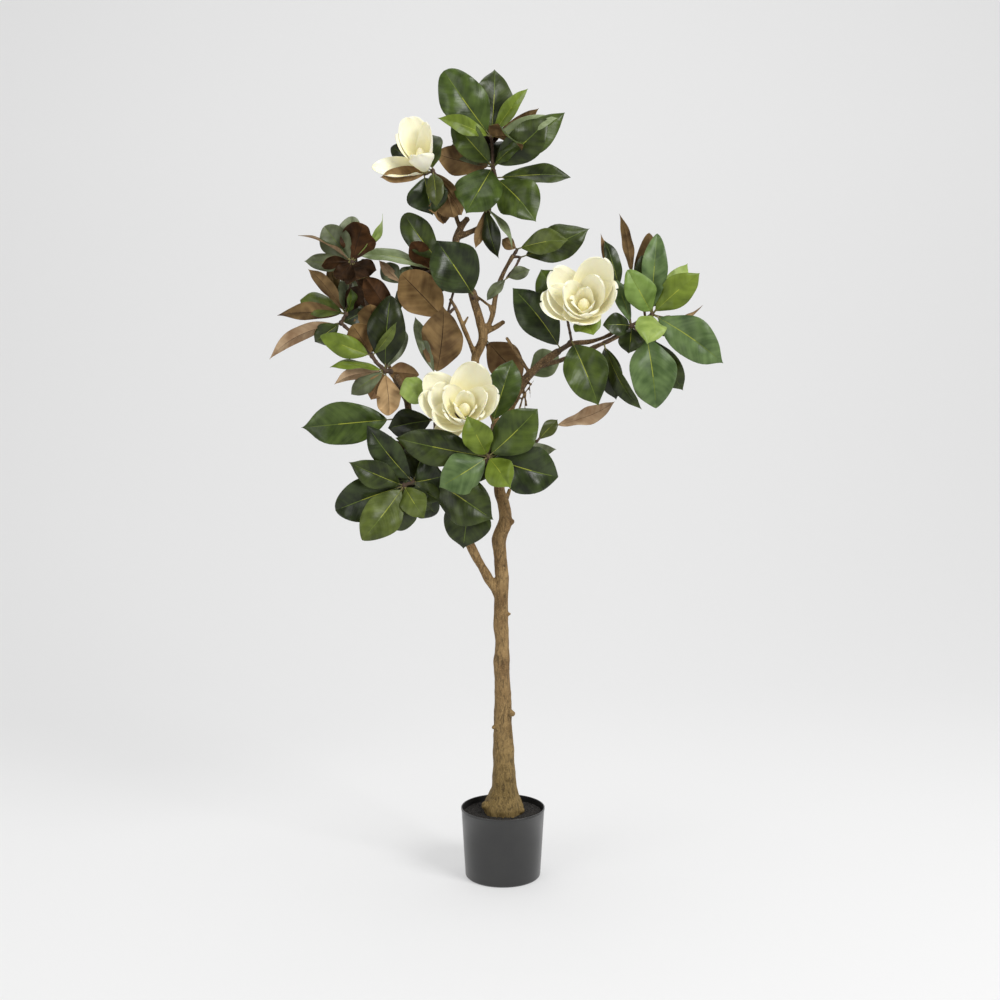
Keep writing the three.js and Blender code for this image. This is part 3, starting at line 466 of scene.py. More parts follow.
# The mesh that an object's modifiers give; the object itself goes.
def settledMesh(piece):
    mesh = bpy.data.meshes.new_from_object(piece.evaluated_get(bpy.context.evaluated_depsgraph_get()))
    bpy.data.objects.remove(piece)
    return mesh


# A pile gathers the points and faces of many small forms that become one mesh.
def newPile():
    return {"points": [], "faces": [], "slots": [], "smooth": [], "uv": [], "count": 0}


def addForm(pile, points, faces, slots, uv=None, smooth=None):
    points = np.asarray(points, float)
    pile["points"].append(points)
    pile["faces"] += [[i + pile["count"] for i in face] for face in faces]
    pile["slots"] += list(slots)
    pile["smooth"] += smooth or [True] * len(faces)
    pile["uv"].append(np.zeros((len(points), 2)) if uv is None else uv)
    pile["count"] += len(points)


def pileObject(name, pile, materials):
    mesh = bpy.data.meshes.new(name)
    mesh.from_pydata(np.concatenate(pile["points"]) * mm, [], pile["faces"])
    for material in materials:
        mesh.materials.append(material)
    mesh.polygons.foreach_set("material_index", pile["slots"])
    mesh.polygons.foreach_set("use_smooth", pile["smooth"])
    corners = np.empty(len(mesh.loops), dtype=np.int32)
    mesh.loops.foreach_get("vertex_index", corners)
    layer = mesh.uv_layers.new(name="blade")
    layer.data.foreach_set("uv", np.concatenate(pile["uv"])[corners].ravel())
    mesh.validate()
    return addObject(name, mesh)


# Faces of a thin closed sheet: upper grid, lower grid and a crisp rim, with slots by row and column.
def sheetFaces(rows, columns, upperSlots, lowerSlots, rimSlot):
    faces, slots, rims = [], [], []
    lower = rows * columns
    for i in range(rows - 1):
        for j in range(columns - 1):
            a, b = i * columns + j, (i + 1) * columns + j
            faces.append((a, a + 1, b + 1, b))
            faces.append((lower + a, lower + b, lower + b + 1, lower + a + 1))
            slots += [upperSlots[i][j], lowerSlots[i][j]]
        for j, turn in ((0, False), (columns - 1, True)):
            a, b = i * columns + j, (i + 1) * columns + j
            rim = (a, b, lower + b, lower + a)
            rims.append(rim[::-1] if turn else rim)
    for i, turn in ((0, False), (rows - 1, True)):
        for j in range(columns - 1):
            a = i * columns + j
            rim = (a + 1, a, lower + a, lower + a + 1)
            rims.append(rim[::-1] if turn else rim)
    smooth = [True] * len(faces) + [False] * len(rims)
    return faces + rims, slots + [rimSlot] * len(rims), smooth


tubeEnds = (0.4, 0.6)       # how long the cones at a tube's two ends are, in radii


# A tube through centres, each with its own radius, closed by a cone at both ends.
def addTube(pile, centres, radii, sides, slot):
    centres = np.asarray(centres, float)
    tangents = np.gradient(centres, axis=0)
    first = unit(tangents[0])
    across = unit(np.cross(first, up if abs(first[2]) < 0.8 else (1.0, 0, 0)))
    points = []
    for centre, tangent, radius in zip(centres, tangents, radii):
        tangent = unit(tangent)
        across = unit(across - tangent * across.dot(tangent))
        beside = np.cross(tangent, across)
        for k in range(sides):
            angle = 2 * math.pi * k / sides
            points.append(centre + radius * (across * math.cos(angle) + beside * math.sin(angle)))
    faces = []
    for i in range(len(centres) - 1):
        for k in range(sides):
            a, b = i * sides + k, i * sides + (k + 1) % sides
            faces.append((a, b, b + sides, a + sides))
    last = (len(centres) - 1) * sides
    points += [centres[0] - unit(tangents[0]) * radii[0] * tubeEnds[0],
               centres[-1] + unit(tangents[-1]) * radii[-1] * tubeEnds[1]]
    for k in range(sides):
        k2 = (k + 1) % sides
        faces.append((len(points) - 2, k2, k))
        faces.append((len(points) - 1, last + k, last + k2))
    addForm(pile, points, faces, [slot] * len(faces))


# A small swelling, longer along its axis.
def addKnot(pile, centre, axis, radius, stretch, slot, sides=10, rings=6):
    steps = [math.pi * i / rings for i in range(rings + 1)][1:-1]
    axis = unit(axis)
    centres = [np.asarray(centre) - axis * radius * stretch * math.cos(s) for s in steps]
    addTube(pile, centres, [radius * math.sin(s) for s in steps], sides, slot)


leaf = {
    "stalk": 0.08,           # share of the length that is bare stalk
    "stalkOver": 0.03,       # share over which it runs on under the blade
    "stalkRadii": (1.9, 1.2), "stalkSteps": 5, "stalkSides": 7,
    "thickness": 0.6,
    "bow": 0.06,             # rise of the middle over a straight line, as a share of the length
    "sway": 0.05,            # how far the middle may swing aside, as a share of the length
    "fold": 0.34,            # slope from the midrib up to the edges
    "foldSpread": 1.1,       # how much it differs from leaf to leaf
    "curl": 0.24,            # how far the edges roll back down
    "wave": 0.07,            # rise of the ripples along the edge, as a share of the half width
    "ripples": 2.2,          # their number
    "roll": 0.15,            # height of the slow swells across the blade, as a share of the half width
    "swells": 1.25,
    "uneven": 0.05,          # how much the two edges differ
    "droop": 0.07,           # fall of the tip, as a share of the length
    "droopSpread": 0.08,
    "droopFrom": 0.62,       # share of the length where the fall starts
    "twist": 16,             # degrees between the foot and the tip
    "still": 0.4,            # share of the length that the twist leaves unturned
    "widest": (0.98, 1.16),  # powers that push the widest place towards the tip
    "base": 0.74,            # power of the outline at the foot
    "tip": (0.68, 0.92),     # powers of the end: one half is round, one is pointed
    "pointed": 0.86,         # the same for a young leaf
    "youngWidth": 42,        # mm, a narrower leaf is young
    "point": 0.5,            # how much more the last sixth of some is drawn to a point
    "least": (1.4, 0.3),     # mm, least half width near the foot and at the tip
    "worn": ("brown", "russet", "umber", "tan", "pink", "sand", "orange"),   # old leaves, more crumpled
    "crumple": 2.2,
    "midrib": (0.9, 1.2),    # mm that it stands out below, and how far it goes on: it fades towards the tip
    "ribHalf": 0.05,         # share of the half width
    "ribEnds": (0.5, 0.86),  # shares of the length where the midrib fades and ends
    "rows": 23,
    "evenRows": 0.25,        # the rest of the rows draw together at the foot and the tip
    "columns": (0, 0.018, 0.1, 0.26, 0.44, 0.62, 0.8, 0.93, 0.975, 1),   # shares of the half width
    # half width along a plain leaf, both as shares
    "outline": ((0.22, 0.5), (0.36, 0.81), (0.5, 0.98), (0.63, 0.98), (0.77, 0.79), (0.89, 0.46)),
}
forkStart = 5.0              # mm from a crowded fork to where its stalks start
crowd = 3                    # leaves that make a fork crowded
bladeMaterials = list(leafMaterials)
twigMaterials = [twigBark, petiolePlastic, budFelt]
woodSlot, greenSlot, budSlot = range(3)
halfColumns = leaf["columns"]
columnShares = np.array([-c for c in reversed(halfColumns[1:])] + list(halfColumns[1:]))
strips = ["rib" if abs(low + high) < leaf["ribHalf"] / 2 else "blade"
          for low, high in zip(columnShares, columnShares[1:])]
rowShares = np.array([leaf["evenRows"] * s + (1 - leaf["evenRows"]) * (0.5 - 0.5 * math.cos(math.pi * s))
                      for s in np.linspace(0, 1, leaf["rows"])])


# Axis and upper normal of a leaf whose tip lies at (right, toward the front, up) from its fork.
def rolledFrame(right, toward, rise, roll):
    reach = np.array([right, -toward, rise], float)
    axis = unit(reach)
    lean = math.atan2(toward, math.hypot(right, rise))
    front = np.array([0, -math.cos(lean), 0]) - math.sin(lean) * unit([right, 0, rise])
    beside = np.cross(axis, front)
    normal = math.cos(math.radians(roll)) * front + math.sin(math.radians(roll)) * beside
    return axis, normal, np.linalg.norm(reach)


# Half width of a blade at each row: its two ends have powers of their own.
def bladeHalf(spec, wide, blunt):
    lowWide, highWide = leaf["widest"]
    lowTip, highTip = leaf["tip"]
    s, end = rowShares, spec.get("end")
    if not end:
        young = spec["width"] <= leaf["youngWidth"]
        end = leaf["pointed"] if young else lowTip + (highTip - lowTip) * (blunt + 0.5)
    point = leaf["point"] * max(end - lowTip, 0) / (highTip - lowTip)
    swell = np.clip(np.sin(np.pi * s ** (lowWide + (highWide - lowWide) * (wide + 0.5))), 0, 1)
    power = leaf["base"] + (end - leaf["base"]) * s + point * np.clip(6 * s - 5, 0, 1)
    nearFoot, nearTip = leaf["least"]
    return np.maximum(spec["width"] / 2 * swell ** power, np.where(s < 0.5, nearFoot, nearTip))[:, None]


# Materials of a blade's upper and lower faces by row and column, and of its rim.
def bladeSlots(spec):
    upper, under, ribUp, ribDown, rim = [bladeMaterials.index(m) for m in tones[spec["tone"]]]
    if "under" in spec:
        under = bladeMaterials.index(spec["under"])
    dim = bladeMaterials.index("ribDim") if ribUp == bladeMaterials.index("ribYellow") else ribUp
    fades, ends = leaf["ribEnds"]
    ribs = [ribUp if share < fades else dim if share < ends else upper for share in rowShares]
    upperSlots = [[rib if strip == "rib" else upper for strip in strips] for rib in ribs]
    lowerSlots = [[ribDown if strip == "rib" else under for strip in strips]] * len(ribs)
    return upperSlots, lowerSlots, rim


def addLeaf(pile, stalks, spec, seed):
    axis, normal, length = spec["axis"], spec["normal"], spec["length"]
    side = np.cross(axis, normal)
    chance = shuffled(seed)
    bend, ripple, phase, sway, folded, turned, notch, wide, blunt = [next(chance) - 0.5 for _ in range(9)]

    def centre(q):
        lift = 4 * spec["bow"] * length * q * (1 - q)
        past = np.clip((q - leaf["droopFrom"]) / (1 - leaf["droopFrom"]), 0, None)
        fall = (leaf["droop"] + leaf["droopSpread"] * bend) * length * past ** 2
        return (spec["fork"] + axis * length * q[..., None] + normal * (lift - fall)[..., None]
                + side * (leaf["sway"] * sway * length * np.sin(np.pi * q))[..., None])

    s = rowShares[:, None]
    u = columnShares[None, :]
    out = np.abs(u)
    half = bladeHalf(spec, wide, blunt)
    uneven = 1 + leaf["uneven"] * np.sin(9 * s + 12 * phase + np.sign(u)) * out ** 2
    across = u * half * uneven
    fold = leaf["fold"] * (1 + leaf["foldSpread"] * folded)
    crumple = leaf["crumple"] if spec["tone"] in leaf["worn"] else 1
    rise = half * (fold * out - leaf["curl"] * (1 + notch) * out ** 2.6)
    rise = rise + crumple * half * leaf["wave"] * (1 + ripple) * out ** 2.5 * np.sin(
        2 * math.pi * (leaf["ripples"] + ripple) * s + np.sign(u) * 1.3 + 6 * phase)
    rise = rise + half * leaf["roll"] * out ** 0.7 * np.sin(
        2 * math.pi * (leaf["swells"] + bend) * s - 1.9 * u + 9 * sway)
    turn = crumple * math.radians(leaf["twist"]) * 2 * turned * (s - leaf["still"])
    across, rise = across * np.cos(turn) - rise * np.sin(turn), rise * np.cos(turn) + across * np.sin(turn)
    spine = centre(leaf["stalk"] + (1 - leaf["stalk"]) * rowShares)
    top = spine[:, None, :] + side * across[..., None] + normal * rise[..., None]
    deep, fading = leaf["midrib"]
    ridge = np.where(out < leaf["ribHalf"], deep, 0.0)[..., None]
    bottom = top - normal * leaf["thickness"] - normal * ridge * (fading - s[..., None])
    faces, slots, smooth = sheetFaces(len(rowShares), len(columnShares), *bladeSlots(spec))

    # each blade takes its own stretch of the printed cloth
    flat = np.stack([u * half, np.broadcast_to(s * length, across.shape)], -1)
    flat = flat.reshape(-1, 2) / mapUnit + (0, 3 * (seed % 97))
    addForm(pile, np.concatenate([top.reshape(-1, 3), bottom.reshape(-1, 3)]), faces, slots,
            np.concatenate([flat, flat]), smooth)

    steps = leaf["stalkSteps"]
    reach = np.linspace(spec["start"] / length, leaf["stalk"] + leaf["stalkOver"], steps)
    addTube(stalks, centre(reach), np.linspace(*leaf["stalkRadii"], steps), leaf["stalkSides"], greenSlot)


# Points round a leaf's outline; share 1 is the outline itself.
def outlinePoints(spec, share=1.0):
    side = np.cross(spec["axis"], spec["normal"])
    mirrored = [(q, -w) for q, w in reversed(leaf["outline"])]
    shape = [(leaf["stalk"], 0), *leaf["outline"], (1, 0), *mirrored]
    return [spec["fork"] + spec["axis"] * spec["length"] * q + side * share * w * spec["width"] / 2
            for q, w in shape]


frontEye = {"distance": 3200, "height": 1200}


# The place of a point in the plane of the trunk, as seen from the front.
def seen(point):
    scale = frontEye["distance"] / (frontEye["distance"] + point[1])
    return point[0] * scale, frontEye["height"] + (point[2] - frontEye["height"]) * scale


# Whether a closed outline with no hollow side holds a place.
def holds(outline, place):
    turns = []
    for (x0, z0), (x1, z1) in zip(outline, outline[1:] + outline[:1]):
        turns.append((x1 - x0) * (place[1] - z0) - (z1 - z0) * (place[0] - x0) > 0)
    return all(turns) or not any(turns)


shoot = {
    "length": 104, "spread": 36,       # mm, the shortest leaf and what chance adds
    "width": 0.52,                     # share of the length
    "lift": 6, "spreadLift": 38,       # degrees that the leaves stand up along the shoot
    "turn": 137.5, "jitter": 26,       # degrees from leaf to leaf
    "whorls": 3, "each": 6,            # further whorls towards the trunk, and the leaves of each
    "step": 26, "taper": 0.86,         # mm between whorls, and how much shorter each one is
    "shorter": (1, 0.88, 0.76, 0.66, 0.56, 0.46),     # lengths that a leaf behind is tried at
    "screen": 0.9,                     # share of a front leaf's width that hides what lies behind
    # the leaves behind take the dark underside as painted shade in the gaps among the front leaves
    "under": "underDark",
    "tones": ("dark", "green", "deep", "glossy", "green", "olive"),
}


# The leaves round a shoot's axis, turned by the golden angle: first those at its end, then the whorls.
def shootLeaves(fork, direction, seed, count):
    chance = randomFrom(seed * 7919)
    axle = unit(direction)
    side = unit(np.cross(axle, up))
    top = np.cross(side, axle)
    for i in range(count + shoot["whorls"] * shoot["each"]):
        turn = math.radians(i * shoot["turn"] + (next(chance) - 0.5) * shoot["jitter"])
        lift = math.radians(shoot["lift"] + next(chance) * shoot["spreadLift"])
        length = shoot["length"] + next(chance) * shoot["spread"]
        whorl = 0 if i < count else 1 + (i - count) // shoot["each"]
        length *= shoot["taper"] ** whorl
        axis = math.cos(lift) * (math.cos(turn) * top + math.sin(turn) * side) + math.sin(lift) * axle
        yield {"fork": fork - axle * shoot["step"] * whorl, "start": forkStart, "axis": axis,
               "normal": unit(axle - axis * axle.dot(axis)), "length": length, "bow": leaf["bow"],
               "width": length * shoot["width"], "under": shoot["under"],
               "tone": shoot["tones"][(seed + i) % len(shoot["tones"])]}


petal = {
    "thickness": 1.0, "rows": 21, "columns": 23,
    "seat": 7,                    # mm, radius of the ring that the petals stand on
    "calyx": (8.8, 0.8),          # mm, radius of the green knob under them, and its stretch
    "outline": (0.8, 0.42),       # powers that push the widest place outwards and square the ends
    "least": (5.0, 2.5),          # mm, least half width at the foot and at the rim
    "uneven": 0.03,               # how much the two edges differ
    "rounding": 0.62,             # share of half a turn over which the cup opens and closes
    "ruffle": 3.0, "frill": 1.0, "lip": 3.0,          # mm, slow waves, fine waves and rim turned out
    "thin": (0.7, 0.6),           # how much thinner the sides and the rim are
    "crown": (0.05, 0.03),        # how far the corners and the rim fall short
}
petalMaterials = [petalOutside, petalInside, budPetal]
outerSlot, innerSlot, woundSlot = range(3)


# A petal is a patch of a round cup: (turn, tilt, length, width, cup and, where it rolls, roll).
def addPetal(pile, base, axis, right, upward, spec, seed):
    turn, tilt, length, width, cup, *roll = spec
    chance = shuffled(seed)
    phase, flare = next(chance) * 6.28, next(chance)
    out = math.cos(math.radians(turn)) * upward + math.sin(math.radians(turn)) * right
    beside = np.cross(axis, out)
    lean = math.radians(tilt)
    rows, columns = petal["rows"], petal["columns"]
    v = (0.5 - 0.5 * np.cos(np.pi * np.linspace(0, 1, rows)))[:, None]
    u = np.sin(np.pi / 2 * np.linspace(-1, 1, columns))[None, :]
    far = np.abs(u)
    outwards, squared = petal["outline"]
    half = width / 2 * np.clip(np.sin(np.pi * v ** outwards), 0, 1) ** squared
    half = np.maximum(half, np.where(v < 0.5, *petal["least"]))
    half = half * (1 + petal["uneven"] * np.sin(11 * v + 2 * phase) * np.sign(u))
    radius = petal["seat"] + (cup - petal["seat"]) * np.sin(np.pi * petal["rounding"] * v)
    radius = radius + petal["ruffle"] * v ** 2 * far ** 1.5 * np.sin(3.3 * u + 5 * v + phase)
    radius = radius + petal["frill"] * (v ** 3 + v * far ** 3) * np.sin(8.5 * u + 6 * v + 2 * phase)
    radius = radius + petal["lip"] * (0.6 + flare) * (v ** 5 + 0.6 * v * far ** 4)
    swing = u * half / np.maximum(radius, cup * 0.6)
    aside = u * half / (width / 2)

    # a petal leans out about the seat, then rolls about its own length
    along = axis * math.cos(lean) + out * math.sin(lean)
    outward = out * math.cos(lean) - axis * math.sin(lean)
    twist = math.radians(roll[0] if roll else 0)
    outward, beside = (outward * math.cos(twist) + beside * math.sin(twist),
                       beside * math.cos(twist) - outward * math.sin(twist))
    thinSide, thinRim = petal["thin"]
    corner, wavy = petal["crown"]

    def surface(lift):
        r = radius + lift * (1 - thinSide * far ** 4) * (1 - thinRim * v ** 6)
        height = length * v * (1 - corner * np.abs(aside) ** 2.5 - wavy * v ** 6 * np.cos(3 * aside + phase))
        return (base + outward * (r * np.cos(swing))[..., None] + along * height[..., None]
                + beside * (r * np.sin(swing))[..., None])

    outer, inner = surface(petal["thickness"] / 2), surface(-petal["thickness"] / 2)
    outerSlots, innerSlots = [[outerSlot] * columns] * rows, [[innerSlot] * columns] * rows
    faces, slots, smooth = sheetFaces(rows, columns, outerSlots, innerSlots, outerSlot)
    flat = np.stack([np.broadcast_to(u, (rows, columns)), np.broadcast_to(v, (rows, columns))], -1)
    addForm(pile, np.concatenate([outer.reshape(-1, 3), inner.reshape(-1, 3)]),
            [face[::-1] for face in faces], slots, np.concatenate([flat.reshape(-1, 2)] * 2), smooth)


bloomBud = {
    "rings": 22, "sides": 30,
    "wraps": 3, "wind": 1.15,          # petals round the bud, and turns that each winds up it
    "step": 0.085,                     # how far one stands out over the next
    "round": 0.62, "plump": 1.08, "taper": 0.3,
    "stand": 4,                        # mm over the seat of the petals
}


# An egg wound by a few petals, each lapping over the next along a slanting edge.
def addBud(pile, base, axis, right, upward, girth, tall):
    points, flat = [], []
    rings, sides = bloomBud["rings"], bloomBud["sides"]
    for i in range(rings):
        t = i / (rings - 1)
        swell = math.sin(math.pi * min(max(t, 0.004), 0.996)) ** bloomBud["round"]
        swell *= bloomBud["plump"] - bloomBud["taper"] * t
        for k in range(sides):
            angle = 2 * math.pi * k / sides
            lap = (bloomBud["wraps"] * angle / (2 * math.pi) + bloomBud["wind"] * t) % 1
            reach = girth * swell * (1 - bloomBud["step"] * lap * math.sin(math.pi * t))
            side = math.cos(angle) * upward + math.sin(angle) * right
            points.append(base + axis * tall * t + side * reach)
            flat.append((0.5 * math.sin(angle), t))
    faces = []
    for i in range(rings - 1):
        for k in range(sides):
            a, b = i * sides + k, i * sides + (k + 1) % sides
            faces.append((b, a, a + sides, b + sides))
    last = (rings - 1) * sides
    points += [base - axis * 0.5, base + axis * (tall + 0.3)]
    flat += [(0, 0), (0, 1)]
    for k in range(sides):
        k2 = (k + 1) % sides
        faces += [(len(points) - 2, k, k2), (len(points) - 1, last + k2, last + k)]
    addForm(pile, points, faces, [woundSlot] * len(faces), np.array(flat, float))


# A bloom: its green knob, its petals from the outside in, and the wound bud in the middle.
def addBloom(pile, stalks, at, axis, bud, petals, index):
    base = np.array(at, float)
    axis = unit(axis)
    right = unit(np.cross((0, 1.0, 0), axis))
    upward = np.cross(axis, right)
    addKnot(stalks, base, axis, *petal["calyx"], greenSlot)
    for k, spec in enumerate(petals):
        addPetal(pile, base, axis, right, upward, spec, seedFor("bloom", index, k))
    addBud(pile, base + axis * bloomBud["stand"], axis, right, upward, *bud)


